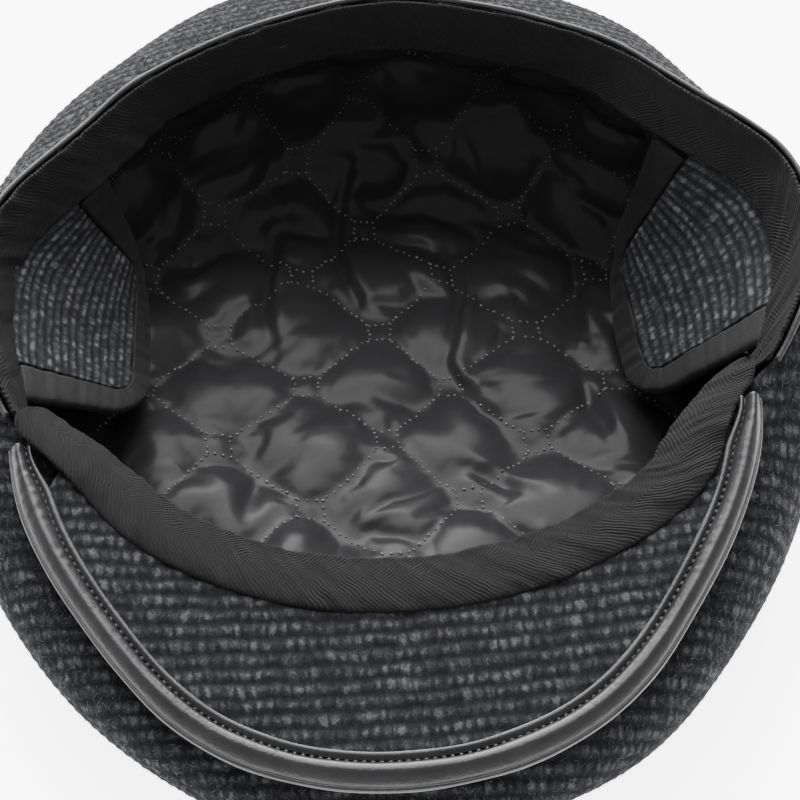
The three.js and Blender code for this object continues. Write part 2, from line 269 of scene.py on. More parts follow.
def rim_at(angle):
    """The rim: an ellipse-like line with different powers front and back, pinched in towards its
    four diagonals."""
    c, s = np.cos(angle), np.sin(angle)
    back = s > 0
    steep = np.degrees(np.arctan2(np.abs(s), np.abs(c)))
    pinch = RIM_PINCH["depth"] * np.where(
        back,
        bell(steep, RIM_PINCH["back_at"], RIM_PINCH["back_spread"]),
        bell(steep, RIM_PINCH["front_at"], RIM_PINCH["front_spread"]),
    )
    sway = np.where(back, 0, RIM_SWAY["shift"] * bell(steep, RIM_SWAY["at"], RIM_SWAY["spread"]))
    exponent = np.where(back, RIM["back_power"], RIM["front_power"])
    x = RIM["half"] * power(c, exponent) - np.sign(c) * pinch - sway
    y = np.where(back, RIM["back"], RIM["front"]) * s
    return vectors(x, y, sheet_height(x, y) + RIM_HEIGHT["back_rise"] * np.maximum(0, s) ** 4)


def near_rim(angle, inset, drop):
    """The rim moved towards the head opening by inset and down by drop."""
    along = unit(lay(rim_at(angle + 0.02) - rim_at(angle - 0.02), 0))
    return rim_at(angle) + vectors(-along[..., 1] * inset, along[..., 0] * inset, -drop)


def peak_line(share):
    """The peak's outer edge, from -1 at one corner to 1 at the other: a superellipse whose flanks
    are pressed in a little."""
    turn = share * np.pi / 2
    flat = PEAK_FLAT["depth"] * bell(np.abs(np.degrees(turn)), PEAK_FLAT["at"], PEAK_FLAT["spread"])
    x = PEAK["half"] * power(np.sin(turn), 2 / PEAK["power"]) - np.sign(turn) * flat + PEAK["shift"]
    y = PEAK["corner"] - (PEAK["front"] + PEAK["corner"]) * power(np.cos(turn), 2 / PEAK["power"])
    return vectors(x, y, sheet_height(x, y))


def near_peak_line(share, inset, above):
    """The peak's edge moved inwards by inset, at a height above the sheet."""
    step = peak_line(np.minimum(share + 0.01, 1)) - peak_line(np.maximum(share - 0.01, -1))
    along = unit(lay(step, 0))
    point = peak_line(share) + vectors(-along[..., 1] * inset, along[..., 0] * inset, 0)
    return lay(point, sheet_height(point[..., 0], point[..., 1]) + above)


def widest_at(angle, size, height):
    """A widest line round the cap, from its half width and its lengths to the front and back."""
    c, s = np.cos(angle), np.sin(angle)
    back = s > 0
    exponent = np.where(back, size["back_power"], size["front_power"])
    x = size["half"] * power(c, exponent) + size["skew"] * s
    y = np.where(back, size["back"], size["front"]) * s
    return vectors(x, y, mix(height["side"], np.where(back, height["back"], height["front"]), s * s))


round_cap = np.linspace(0, 2 * np.pi, 400)
rim_length = lengths_along(rim_at(round_cap)[:, None], 0)[-1, 0]
print(f"rim length {rim_length:.0f} mm, as for a head of 58 to 60 cm")

# %% [markdown]
# ## The two bowls
#
# The crown and the lining are both bowls. A point on one is named by an angle round the cap and a
# level: 0 at the rim, 1 at the widest line, 2 at the edge of the flat patch that the cap lies on.
# From rim to widest line the section is a cubic curve, and from there to the patch it is a quarter
# of an ellipse.

# %% Sections of the bowls
UNDER_PEAK = dict(inset=4, drop=4.4)
LINING_FLOOR = 2.9


def along_peak(angle):
    """1 along the peak, falling to 0 past its corners."""
    return 1 - ramp(np.abs(from_front(angle)), 58, 72)


def along_flaps(angle):
    """1 where an ear flap hangs, falling to 0 in front of it and behind it."""
    return 1 - ramp(np.abs(np.abs(from_front(angle)) - 97), 33, 52)


def cubic(p0, p1, p2, p3, share):
    """A cubic curve with four control points."""
    t = share[..., None]
    return (1 - t) ** 3 * p0 + 3 * t * (1 - t) ** 2 * p1 + 3 * t**2 * (1 - t) * p2 + t**3 * p3


def towards_patch(widest, floor, share):
    """From the widest line down to the flat patch: a quarter of an ellipse."""
    bend = 1 - np.cos(share * np.pi / 2)
    x = mix(widest[..., 0], widest[..., 0] * PATCH["share"], bend)
    y = mix(widest[..., 1], mix(PATCH["centre_y"], widest[..., 1], PATCH["share"]), bend)
    return vectors(x, y, mix(widest[..., 2], floor, np.sin(share * np.pi / 2)))


def crown_surface(angle, level):
    """The outside of the crown."""
    out = BULGE["out"] * bell((np.degrees(angle) - BULGE["at"] + 180) % 360 - 180, 0, BULGE["spread"])
    towards = np.radians(BULGE["at"])
    widest = widest_at(angle, CROWN, CROWN_HEIGHT)
    widest = widest + vectors(out * np.cos(towards), out * np.sin(towards), 0)
    tuck = along_peak(angle)
    rim = near_rim(angle, UNDER_PEAK["inset"] * tuck, UNDER_PEAK["drop"] * tuck)
    fall = rim[..., 2] - widest[..., 2]
    first = lay(mix(rim, widest, 0.55), rim[..., 2] - 0.25 * fall)
    second = lay(widest, widest[..., 2] + 0.5 * fall)
    upper = cubic(rim, first, second, widest, np.clip(level, 0, 1))
    return np.where((level > 1)[..., None], towards_patch(widest, 0, np.clip(level - 1, 0, 1)), upper)


LINING_TOP = dict(inset=3.4, drop=5, drop_at_flaps=16, front_inset=9, front_drop=3.4)


def lining_surface(angle, level):
    """The side of the lining that faces the head, before it is quilted. Its top edge hides behind
    the tape, and lower down where the ear flaps cover it."""
    widest = widest_at(angle, LINING, LINING_HEIGHT)
    tuck, flaps = along_peak(angle), along_flaps(angle)
    inset = mix(LINING_TOP["inset"], LINING_TOP["front_inset"], tuck)
    drop = mix(mix(LINING_TOP["drop"], LINING_TOP["drop_at_flaps"], flaps), LINING_TOP["front_drop"], tuck)
    rim = near_rim(angle, inset, drop)
    fall = rim[..., 2] - widest[..., 2]
    first = lay(mix(rim, widest, 0.5 * flaps[..., None]), rim[..., 2] - 0.35 * fall)
    second = lay(widest, widest[..., 2] + 0.4 * fall)
    upper = cubic(rim, first, second, widest, np.clip(level, 0, 1))
    lower = towards_patch(widest, LINING_FLOOR, np.clip(level - 1, 0, 1))
    return np.where((level > 1)[..., None], lower, upper)


front = np.array([-np.pi / 2])
print("crown's rim, widest line and patch at the front:",
      [crown_surface(front, np.array([level]))[0].round(1).tolist() for level in (0.0, 1.0, 2.0)])

# %% [markdown]
# ## Writing node materials from Python
#
# A material is a small sum: patterns go in, colour, roughness and bump come out. Nodes can be
# linked by hand in the editor, but for a weave of a dozen steps it is easier to read as lines of
# Python. Each method below adds one node and returns its output, so the sums nest like ordinary
# code. All patterns start from the cloth coordinates in millimetres, so that a thread has the size
# that it really has.

# %% A helper that writes nodes


class Finish:
    """A material being written: every method adds one node and returns its output socket."""

    def __init__(self, name, **settings):
        self.material = bpy.data.materials.new(name)
        self.material.use_nodes = True
        self.tree = self.material.node_tree
        self.surface = self.tree.nodes["Principled BSDF"]
        for socket, value in settings.items():
            self.surface.inputs[socket.replace("_", " ")].default_value = value

    def node(self, kind, inputs=(), output=0, **options):
        """Adds a node. Each of its inputs is linked to a socket or set to a plain value."""
        made = self.tree.nodes.new("ShaderNode" + kind)
        for option, value in options.items():
            setattr(made, option, value)
        for place, value in dict(inputs).items():
            if isinstance(value, bpy.types.NodeSocket):
                self.tree.links.new(value, made.inputs[place])
            else:
                made.inputs[place].default_value = value
        return made.outputs[output]

    def sum(self, operation, *values):
        """A Math node."""
        return self.node("Math", enumerate(values), operation=operation)

    def vector(self, operation, *values):
        """A Vector Math node."""
        return self.node("VectorMath", enumerate(values), operation=operation)

    def scaled(self, vector, factor):
        """A vector times a number."""
        return self.node("VectorMath", {0: vector, "Scale": factor}, operation="SCALE")

    def cloth(self):
        """The cloth coordinates in millimetres."""
        return self.scaled(self.node("UVMap", uv_map="cloth"), 1 / MM)

    def place(self):
        """The place on the object in millimetres."""
        return self.scaled(self.node("TexCoord", output="Object"), 1 / MM)

    def noise(self, vector, size, detail=2.0, output=0):
        """Smooth noise whose blobs are about size millimetres wide: 0 to 1, or a colour."""
        inputs = {"Vector": vector, "Scale": 1 / size, "Detail": detail}
        return self.node("TexNoise", inputs, output)

    def dice(self, vector, output=0):
        """A random number from 0 to 1 for each place, or a colour."""
        return self.node("TexWhiteNoise", {"Vector": vector}, output, noise_dimensions="3D")

    def smooth(self, value, low, high):
        """0 below low and 1 above high, with a smooth S between them."""
        inputs = {"Value": value, "From Min": low, "From Max": high}
        return self.node("MapRange", inputs, interpolation_type="SMOOTHSTEP")

    def blend(self, share, a, b):
        """A number at a share of the way from a to b."""
        return self.node("Mix", {0: share, 2: a, 3: b})

    def colours(self, share, *stops):
        """A colour from a number: stops are pairs of a place and a grey or an (r, g, b)."""
        made = self.node("ValToRGB", {0: share}).node
        for k, (place, colour) in enumerate(stops):
            stop = made.color_ramp.elements[k] if k < 2 else made.color_ramp.elements.new(place)
            stop.position = place
            stop.color = (*((colour,) * 3 if isinstance(colour, (int, float)) else colour), 1)
        return made.outputs[0]

    def finish(self, colour=None, roughness=None, height=None, depth=0.1):
        """Links colour, roughness and a bump whose height is in millimetres times depth."""
        if colour is not None:
            self.tree.links.new(colour, self.surface.inputs["Base Color"])
        if roughness is not None:
            self.tree.links.new(roughness, self.surface.inputs["Roughness"])
        if height is not None:
            normal = self.node("Bump", {"Height": height, "Distance": depth * MM, "Strength": 1.0})
            self.tree.links.new(normal, self.surface.inputs["Normal"])
        return self.material


print("greys in a stop list may be single numbers")

# %% [markdown]
# ## Wool
#
# The outside is a napped wool weave in charcoal: rows of short light flecks, nearly 4 mm apart,
# with dark bands between them. Neighbouring flecks run together here and there, and all edges are
# soft because the cloth is brushed. The shader cuts the cloth into cells, one for each fleck,
# throws dice for each cell and draws a soft blob there. Two noises bend the coordinates first, so
# that nothing is straight. The same cells give the relief, and the mesh itself rises along each
# row, because a bump alone would leave the silhouette smooth. The ear flaps hang in the shade, so
# they get a copy of the same wool with its colours multiplied up: painted light that makes up for
# the shade.

# %% The wool's cells, for shapes and for nodes
ROW = 3.85
FLECK = 2.6
ROW_RELIEF = 0.34
WOOL_SHADES = [
    (0.0, (0.0054, 0.0054, 0.006)),
    (1.0, (0.048, 0.0488, 0.0503)),
    (0.4, (0.0152, 0.0155, 0.0165)),
]
# Painted light: the ear flaps' wool colours are multiplied by this, to make up for the shade they hang in.
FLAP_PAINTED_LIGHT = 2.05


def weave_relief(cloth):
    """Height of the weave in mm at cloth coordinates: a soft ridge along each row, notched between
    the flecks, with neighbouring rows half a fleck apart."""
    across = cloth[..., 1] / ROW
    row = np.floor(across)
    ridge = np.cos(2 * np.pi * (across - row - 0.5)) * 0.5 + 0.5
    notch = 0.65 + 0.35 * np.cos(2 * np.pi * (cloth[..., 0] / FLECK + 0.5 * row))
    return ROW_RELIEF * (ridge**0.8 * notch - 0.5)


def wool_finish(name, painted_light_factor):
    """Charcoal wool with rows of light flecks. Its colours are multiplied by a factor: at 1 nothing
    changes, and above 1 it paints light onto a copy that hangs in shade.
    """
    f = Finish(name, Roughness=1.0, Specular_IOR_Level=0.04)
    cloth = f.cloth()
    sway = f.scaled(f.vector("SUBTRACT", f.noise(cloth, 6.0, 1.0, "Color"), (0.5, 0.5, 0.5)), 2.4)
    fray = f.scaled(f.vector("SUBTRACT", f.noise(cloth, 0.8, 1.0, "Color"), (0.5, 0.5, 0.5)), 1.1)
    bent = f.vector("ADD", f.vector("ADD", cloth, sway), fray)
    parts = f.node("SeparateXYZ", {0: bent})
    across = f.sum("DIVIDE", parts.node.outputs[1], ROW)
    row = f.sum("FLOOR", across)
    up = f.sum("ABSOLUTE", f.sum("SUBTRACT", f.sum("FRACT", across), 0.5))
    along = f.sum("ADD", f.sum("DIVIDE", parts, FLECK), f.sum("MULTIPLY", row, 0.5))
    column = f.sum("FLOOR", along)
    side = f.sum("ABSOLUTE", f.sum("SUBTRACT", f.sum("FRACT", along), 0.5))
    dice = f.dice(f.node("CombineXYZ", {0: column, 1: row, 2: 3.0}), "Color")
    chance = f.node("SeparateXYZ", {0: dice})
    lucky, wide, tall = chance, chance.node.outputs[1], chance.node.outputs[2]
    inside_x = f.smooth(f.sum("SUBTRACT", f.blend(wide, 0.3, 0.5), side), -0.3, 0.3)
    inside_y = f.smooth(f.sum("SUBTRACT", f.blend(tall, 0.2, 0.34), up), -0.24, 0.24)
    fleck = f.sum("MULTIPLY", inside_x, inside_y)
    drift = f.smooth(f.noise(cloth, 9.0, 2.0), 0.3, 0.68)
    strength = f.sum("MULTIPLY", f.blend(lucky, 0.5, 1.1), f.blend(drift, 0.6, 1.0))
    fibres = f.noise(f.vector("MULTIPLY", bent, (2.2, 0.7, 1.0)), 0.75, 3.0)
    streaks = f.smooth(f.noise(f.vector("MULTIPLY", bent, (1.0, 0.2, 1.0)), 1.5, 1.0), 0.38, 0.64)
    hairy = f.blend(f.smooth(fibres, 0.3, 0.65), 0.6, 1.1)
    tone = f.sum("MULTIPLY", f.sum("MULTIPLY", fleck, strength),
                 f.sum("MULTIPLY", hairy, f.blend(streaks, 0.62, 1.12)))
    wisps = f.sum("MULTIPLY", f.smooth(fibres, 0.35, 0.8), 0.12)
    haze = f.sum("ADD", wisps, f.sum("MULTIPLY", streaks, 0.09))
    stops = [(place, tuple(painted_light_factor * np.array(shade))) for place, shade in WOOL_SHADES]
    colour = f.colours(f.sum("ADD", tone, haze), *stops)
    height = f.sum("ADD", f.sum("MULTIPLY", fleck, 0.5), fibres)
    return f.finish(colour, None, height, 0.3)


WOOL = wool_finish("wool", 1.0)
# The flaps' copy of the wool is painted lighter, as painted light for the shade they hang in.
FLAP_WOOL_PAINTED_LIGHT = wool_finish("wool_flap_painted_light", FLAP_PAINTED_LIGHT)
print("rows", ROW, "mm apart, flecks", FLECK, "mm apart")

# %% [markdown]
# ## The crown
#
# The crown is one bowl of wool. It is made of two skins, outside and inside, joined by a rounded
# edge at the rim and closed at both poles. The outside carries three sizes of relief: wide soft
# waves of cloth that stands by itself, small puckers where the sewing has gathered the rim, and
# the rows of the weave. Cloth coordinates are laid out from the middle of the top, so that the
# rows run straight across the flat part and turn over smoothly at the widest line.

# %% The crown's bowl
WOOL_THICK = 2.2
POLE = np.array([0, PATCH["centre_y"]])
CLOTH_SPARE = 12


def bowl(outside, inside, edge_steps=3):
    """A closed bowl from two grids of points, angle by level, that both run from the rim down to
    the last ring before the pole. A half circle joins them at the rim."""
    rim_out, rim_in = outside[:, 0], inside[:, 0]
    middle, half = (rim_out + rim_in) / 2, (rim_out - rim_in) / 2
    up = unit(rim_out - outside[:, 1]) * np.linalg.norm(half, axis=-1, keepdims=True)
    turns = np.linspace(0, np.pi, edge_steps + 2)[1:-1]
    edge = np.stack([middle + half * np.cos(t) + up * np.sin(t) for t in turns], axis=1)
    skin = np.concatenate([outside[:, ::-1], edge, inside], axis=1)
    rows, columns = skin.shape[:2]
    poles = np.stack([skin[:, 0].mean(axis=0), skin[:, -1].mean(axis=0)])
    points = np.concatenate([skin.reshape(-1, 3), poles])
    ring = np.arange(rows)
    after = (ring + 1) % rows
    last = columns - 1
    fan_out = [np.full(rows, rows * columns), after * columns, ring * columns]
    fan_in = [np.full(rows, rows * columns + 1), ring * columns + last, after * columns + last]
    fans = [np.stack(fan, axis=-1) for fan in (fan_out, fan_in)]
    return points, [grid_faces(rows, columns, closed_rows=True), *fans]


def bowl_cloth(points, widest):
    """Cloth coordinates of a bowl's grid that runs from rim to pole ring: the direction from the
    pole stays, and the distance grows evenly along the section from the rim's own to that of the
    widest column plus some spare cloth, and then falls evenly to nothing at the pole."""
    flat = points[..., :2] - POLE
    radius = np.linalg.norm(flat, axis=-1)
    walked = lengths_along(points, 1)
    at_widest = walked[:, widest, None]
    far = radius[:, widest, None] + CLOTH_SPARE
    upper = mix(radius[:, :1], far, walked / at_widest)
    lower = mix(far, 0, (walked - at_widest) / (walked[:, -1:] - at_widest + radius[:, -1:]))
    reach = np.where(walked < at_widest, upper, lower)
    return POLE + unit(flat) * reach[..., None]


def crown_skin(angles, levels):
    """Points on the crown for each angle and level; levels from 2 to 3 cross the flat patch."""
    angle, level = np.meshgrid(angles, levels, indexing="ij")
    points = crown_surface(angle, level)
    pole = np.array([POLE[0], POLE[1], 0])
    return mix(points, pole, np.clip(level - 2, 0, 1)[..., None])


def make_crown():
    """The wool bowl with its waves, puckers and rows. Gives the piece, its flat size, and the
    outer grid with its normals. The inside needs only some of the outside's columns."""
    angles = np.linspace(0, 2 * np.pi, 760, endpoint=False)
    upper = np.linspace(0, 1, 42)
    levels = np.concatenate([upper, np.linspace(1, 2, 46)[1:], [2.2, 2.5, 2.8, 2.95]])
    smooth = crown_skin(angles, levels)
    away = -normals_of(smooth, closed=True)
    depth = lengths_along(smooth, 1)
    lying = ramp(levels, 1.75, 2)[None]
    waves = 1.3 * ripples(smooth, 62, 3) * ramp(depth, 4, 24) * (1 - lying)
    rim = rim_at(angles)[:, None]
    puckers = 0.42 * ripples(rim, 8.5, 5) * np.exp(-depth / 13)
    shape = smooth + away * (waves + puckers)[..., None]
    cloth = bowl_cloth(shape, len(upper) - 1)
    relief = weave_relief(cloth) * (1 - lying)
    outside = shape + away * relief[..., None]
    coarse = [0, 4, 10, 18, 27, 36, 46, 56, 66, 76, 86, 88, 90]
    inside = (shape - away * WOOL_THICK)[:, coarse]
    points, faces = bowl(outside, inside)
    rim_cloth = np.repeat(cloth[:, :1], 3, axis=1)
    skin_cloth = np.concatenate([cloth[:, ::-1], rim_cloth, cloth[:, coarse]], axis=1).reshape(-1, 2)
    skin_cloth = np.concatenate([skin_cloth, [POLE, POLE]])
    piece = new_piece("crown_wool", points, faces, WOOL, "wool", ["crown"], skin_cloth)
    to_pole = depth[:, -1] + np.linalg.norm(shape[:, -1, :2] - POLE, axis=-1)
    quarter = len(angles) // 4
    wide = (to_pole[0] + to_pole[2 * quarter]) * MM
    long = (to_pole[quarter] + to_pole[3 * quarter]) * MM
    return piece, (wide, long), (outside, away)


crown, crown_flat, crown_grid = make_crown()
print("flat cloth of the crown, metres:", np.round(crown_flat, 3))

# %% [markdown]
# ## The peak
#
# The peak is a stiff board covered with the same wool. Its plate runs from under the sweatband to
# under the leather. The skin is worked out smooth first, closed round its edges, and then the rows
# are raised along its normals, on both faces.

# %% The wool plate of the peak


def skin_normals(skin):
    """Outward normals of a closed section carried along a path."""
    step = np.roll(skin, -1, axis=1) - np.roll(skin, 1, axis=1)
    faces = grid_faces(*skin.shape[:2], closed_columns=True)
    outward = np.sign(enclosed(skin.reshape(-1, 3), [faces]))
    return unit(np.cross(np.gradient(skin, axis=0), step)) * outward


PEAK_THICK = 3.0
PEAK_INSET = dict(seam=4, leather=7.3)
SEAM_REACH = 61


def seam_angle(share):
    """The angle on the rim that goes with a place along the peak."""
    return np.radians(-90 + SEAM_REACH * share)


def make_peak():
    """The plate between the rim and the leather: straight lines from one to the other."""
    share, across = np.meshgrid(np.linspace(0.9, -0.9, 300), np.linspace(0, 1, 96), indexing="ij")
    inner = near_rim(seam_angle(share), PEAK_INSET["seam"], 0)
    outer = near_peak_line(share, PEAK_INSET["leather"], 0)
    top = mix(inner, outer, across[..., None])
    top = lay(top, sheet_height(top[..., 0], top[..., 1]))
    skin = wall(top, PEAK_THICK)
    cloth = skin[..., :2]
    skin = skin + skin_normals(skin) * (weave_relief(cloth) + 0.25 * ripples(skin, 24, 7))[..., None]
    rows, columns = skin.shape[:2]
    flat = cloth.reshape(-1, 2)
    return new_piece("peak_wool", skin.reshape(-1, 3), capped(rows, columns), WOOL, "wool", ["peak"], flat)


peak = make_peak()

# %% [markdown]
# ## Fuzz
#
# Wool never ends in a clean line: short fibres stand off it, and catch the light along every
# silhouette. Hair particles would do, but they can't be baked into a plain mesh with the rest. So
# each fibre is a bent ribbon of three triangles, and tens of thousands of them are made at once
# from arrays of roots, directions and lengths.

# %% Fibres on the crown
FUZZ = dict(count=26000, shortest=0.8, longest=2.4, half_width=0.032, from_floor=2.0)


def fibre_finish():
    """Pale wool fibres."""
    f = Finish("wool_fibre", Roughness=0.9, Sheen_Weight=0.3, Sheen_Roughness=0.4)
    patches = f.noise(f.place(), 1.6, 1.0)
    return f.finish(f.colours(patches, (0.35, (0.01, 0.01, 0.011)), (0.65, (0.062, 0.063, 0.065))))


FIBRE = fibre_finish()


def roots_on(points, away, count, draw):
    """Random roots on a grid whose rows close into a ring, evenly spread because each cell is
    drawn by its area. Gives the roots, their normals and one tangent each."""
    along = np.roll(points, -1, axis=0) - points
    down = np.zeros_like(points)
    down[:, :-1] = points[:, 1:] - points[:, :-1]
    area = np.linalg.norm(np.cross(along, down), axis=-1)
    area[points[..., 2] < FUZZ["from_floor"]] = 0
    cell = draw.choice(area.size, count, p=(area / area.sum()).ravel())
    a, b = draw.uniform(size=(2, count, 1))
    corner, along, down, up = (grid.reshape(-1, 3)[cell] for grid in (points, along, down, away))
    return corner + a * along + b * down, up, unit(along)


def make_fuzz(points, away):
    """Bent ribbons: each rises from its root at a random slant, and its second half droops."""
    draw = np.random.default_rng(14)
    roots, up, first = roots_on(points, away, FUZZ["count"], draw)
    second = np.cross(up, first)
    turn, slant = draw.uniform(0, 2 * np.pi, (len(roots), 1)), draw.uniform(0.1, 1.0, (len(roots), 1))
    flat = first * np.cos(turn) + second * np.sin(turn)
    heading = flat * np.cos(slant) + up * np.sin(slant)
    half = draw.uniform(FUZZ["shortest"], FUZZ["longest"], (len(roots), 1)) / 2
    side = np.cross(up, flat) * FUZZ["half_width"]
    middle = roots + heading * half
    droop = up * draw.uniform(0, 1.1, half.shape)
    astray = side * draw.normal(0, 8, half.shape)
    tip = middle + unit(heading - droop + astray) * half
    ribbon = np.stack([roots - side, roots + side, middle + side, middle - side, tip], axis=1)
    start = np.arange(len(roots))[:, None] * 5
    faces = [start + np.array([[0, 1, 2, 3]]), start + np.array([[3, 2, 4]])]
    return new_piece("crown_fuzz", ribbon.reshape(-1, 3), faces, FIBRE, "wool")


fuzz = make_fuzz(*crown_grid)

# %% [markdown]
# ## The leather edge
#
# A strip of thin black leather is folded round the edge of the peak. It shows a folded inner edge,
# a stitched groove, a padded roll and a narrow lip outside. All of that is one closed profile,
# given by a few points and smoothed, and carried along the peak's outer line. Fine creases run
# across the roll, and are strongest towards its ends, where the leather is bent most.

# %% Leather
LEATHER_PROFILE = [
    (7.0, 1.72), (7.8, 1.76), (8.1, 2.05), (7.8, 2.38), (7.25, 2.42), (6.7, 2.15), (6.2, 1.72),
    (5.7, 1.9), (5.15, 2.55), (4.4, 3.1), (3.5, 3.35), (2.7, 3.2), (2.0, 2.75), (1.4, 2.15),
    (0.9, 1.5), (0.6, 0.95), (0.45, 0.6), (0.1, 0.6), (-0.2, 0.25), (-0.2, -0.4), (0.3, -1.2),
    (1.0, -1.75), (2.2, -2.1), (4.0, -2.35), (6.0, -2.25), (7.6, -2.15), (8.05, -1.95),
    (7.8, -1.75), (7.0, -1.72),
]
STITCH = dict(inset=6.2, pitch=2.1, length=1.5, thick=0.5)
LEATHER_REACH = 0.985


def rounded(corners, steps=2):
    """A smooth closed curve through the corners: a cubic between each two, whose slope at a corner
    is half the way from the one before to the one after."""
    p1 = np.array(corners, dtype=float)
    p0, p2, p3 = np.roll(p1, 1, axis=0), np.roll(p1, -1, axis=0), np.roll(p1, -2, axis=0)
    t = np.linspace(0, 1, steps, endpoint=False)[None, :, None]
    a, b, c, d = (p[:, None] for p in (p0, p1, p2, p3))
    bend = a - 2.5 * b + 2 * c - d / 2
    twist = 1.5 * (b - c) + (d - a) / 2
    curve = b + (c - a) * t / 2 + bend * t**2 + twist * t**3
    return curve.reshape(-1, p1.shape[1])


def peak_walk(count, reach=LEATHER_REACH):
    """Places along the peak's line at equal distances, and those distances from the middle."""
    fine = np.linspace(-reach, reach, 2001)
    walked = lengths_along(peak_line(fine)[:, None], 0)[:, 0]
    even = np.linspace(0, walked[-1], count)
    return np.interp(even, walked, fine), even - walked[-1] / 2


def narrowed(share):
    """The strip's width as a share of its full width: it narrows at both ends."""
    return 1 - 0.35 * ramp(np.abs(share), 0.88, 0.98)


def leather_finish():
    """Black grained leather with a soft shine."""
    f = Finish("leather", Roughness=0.35, Specular_IOR_Level=0.27)
    place = f.place()
    grain = f.node("TexVoronoi", {"Vector": place, "Scale": 1 / 0.55}, feature="SMOOTH_F1")
    wear = f.noise(place, 9.0, 3.0)
    colour = f.colours(wear, (0.3, (0.004, 0.004, 0.0045)), (0.75, (0.009, 0.009, 0.01)))
    roughness = f.sum("ADD", f.sum("MULTIPLY", f.noise(place, 3.0, 3.0), 0.14), 0.29)
    height = f.sum("ADD", f.sum("MULTIPLY", grain, 0.5), f.noise(place, 1.2, 3.0))
    return f.finish(colour, roughness, height, 0.07)


LEATHER = leather_finish()


def make_leather():
    """The folded and stitched strip along the peak's edge."""
    profile = rounded(LEATHER_PROFILE)
    inset, above = profile[None, :, 0], profile[None, :, 1]
    share, walked = peak_walk(800)
    place, along = share[:, None], walked[:, None]
    skin = near_peak_line(place, inset * narrowed(place), above - PEAK_THICK / 2)
    away = skin_normals(skin)
    ends = ramp(np.abs(place), 0.5, 0.95)
    on_roll = bell(inset, 3.2, 2.4)
    slanted = vectors(along + 0.35 * inset, 0.18 * inset, 0)
    creases = (0.035 + 0.1 * ends) * -np.abs(ripples(slanted, 3.4, 11)) * on_roll
    swell = 0.16 * ripples(vectors(along, 0, above), 26, 12)
    to_stitch = np.abs((along / STITCH["pitch"]) % 1 - 0.5)
    pulled = -0.1 * bell(inset, STITCH["inset"], 0.55) * bell(to_stitch, 0.5, 0.16)
    skin = skin + away * ((creases + pulled) * (above > 0) + swell)[..., None]
    return new_piece("peak_leather", *with_ends(skin), LEATHER, "leather", ["peak_binding"]), np.ptp(walked)


leather, leather_length = make_leather()

# %% [markdown]
# ## Stitches
#
# A stitch is the same little grain of thread hundreds of times. One grain is a sphere of a few
# dozen faces, and `scatter` copies it with one matrix product: each place has its own three axes,
# and all copies become one mesh.

# %% Copies of one small shape


def grain(around=8, down=5):
    """A unit sphere from rings: points and faces with four corners or three."""
    turn, fall = np.meshgrid(
        np.arange(around) * 2 * np.pi / around, np.linspace(0, np.pi, down + 1)[1:-1], indexing="ij"
    )
    ball = vectors(np.cos(turn) * np.sin(fall), np.sin(turn) * np.sin(fall), np.cos(fall))
    ring = np.arange(around)
    after = (ring + 1) % around
    columns = down - 1
    last = columns - 1
    top = [np.full(around, around * columns), after * columns, ring * columns]
    bottom = [np.full(around, around * columns + 1), ring * columns + last, after * columns + last]
    fans = [np.stack(fan, axis=-1) for fan in (top, bottom)]
    points = np.concatenate([ball.reshape(-1, 3), [[0, 0, 1], [0, 0, -1]]])
    return points, [grid_faces(around, columns, closed_rows=True), *fans]


def scatter(shape, centres, axes):
    """Copies of a shape: each point is a sum of the copy's three axes, added to its centre."""
    points, faces = shape
    copies = centres[:, None] + np.einsum("pk,nkc->npc", points, axes)
    first = (np.arange(len(centres)) * len(points))[:, None, None]
    return copies.reshape(-1, 3), [(f[None] + first).reshape(-1, f.shape[1]) for f in faces]


def frames(along, up, length, thick):
    """Three axes for each grain: along the stitch, across it and up."""
    along = unit(along)
    across = unit(np.cross(up, along))
    lift = np.cross(along, across)
    half = np.stack(np.broadcast_arrays(length / 2, thick / 2, thick / 2), axis=-1)
    return np.stack([along, across, lift], axis=-2) * half.reshape(-1, 3, 1)


def thread_finish(name, tone, roughness, gloss=0.5):
    """Sewing thread with fine turns in it."""
    f = Finish(name, Roughness=roughness, Specular_IOR_Level=gloss)
    strands = f.noise(f.place(), 0.25, 2.0)
    colour = f.colours(strands, (0.3, tone * 0.5), (0.7, tone))
    return f.finish(colour, None, strands, 0.03)


THREAD = thread_finish("thread", 0.004, 0.7, 0.1)


def stitch_leather():
    """One grain of dark thread in each dimple of the leather's groove."""
    fine, from_middle = peak_walk(2001)
    count = int(np.ptp(from_middle) / STITCH["pitch"])
    walked = (np.arange(count) - count // 2) * STITCH["pitch"]
    share = np.interp(walked, from_middle, fine)
    centre = near_peak_line(share, STITCH["inset"] * narrowed(share), 1.78 - PEAK_THICK / 2)
    step = 0.004
    ahead = near_peak_line(share + step, STITCH["inset"], 0)
    along = ahead - near_peak_line(share - step, STITCH["inset"], 0)
    axes = frames(along, np.array([0, 0, 1.0]), STITCH["length"], STITCH["thick"])
    points, faces = scatter(grain(), centre, axes)
    return new_piece("leather_stitches", points, faces, THREAD, "leather")


leather_stitches = stitch_leather()

# %% [markdown]
# ## Sweatband tape and piping
#
# Two strips of cotton tape finish the opening. The front one lies flat over the seam between peak
# and lining; the back one stands inside the rim, with a thin corded piping on its edge. Tape is
# woven in a herringbone: fine ribs that lean one way on one part of its width and the other way on
# the rest. The ribs are a sine of the cloth coordinates in the shader, which also paints their
# crests lighter and the grooves between them darker, as painted light and shade; the puckers that
# sewing leaves are in the mesh.

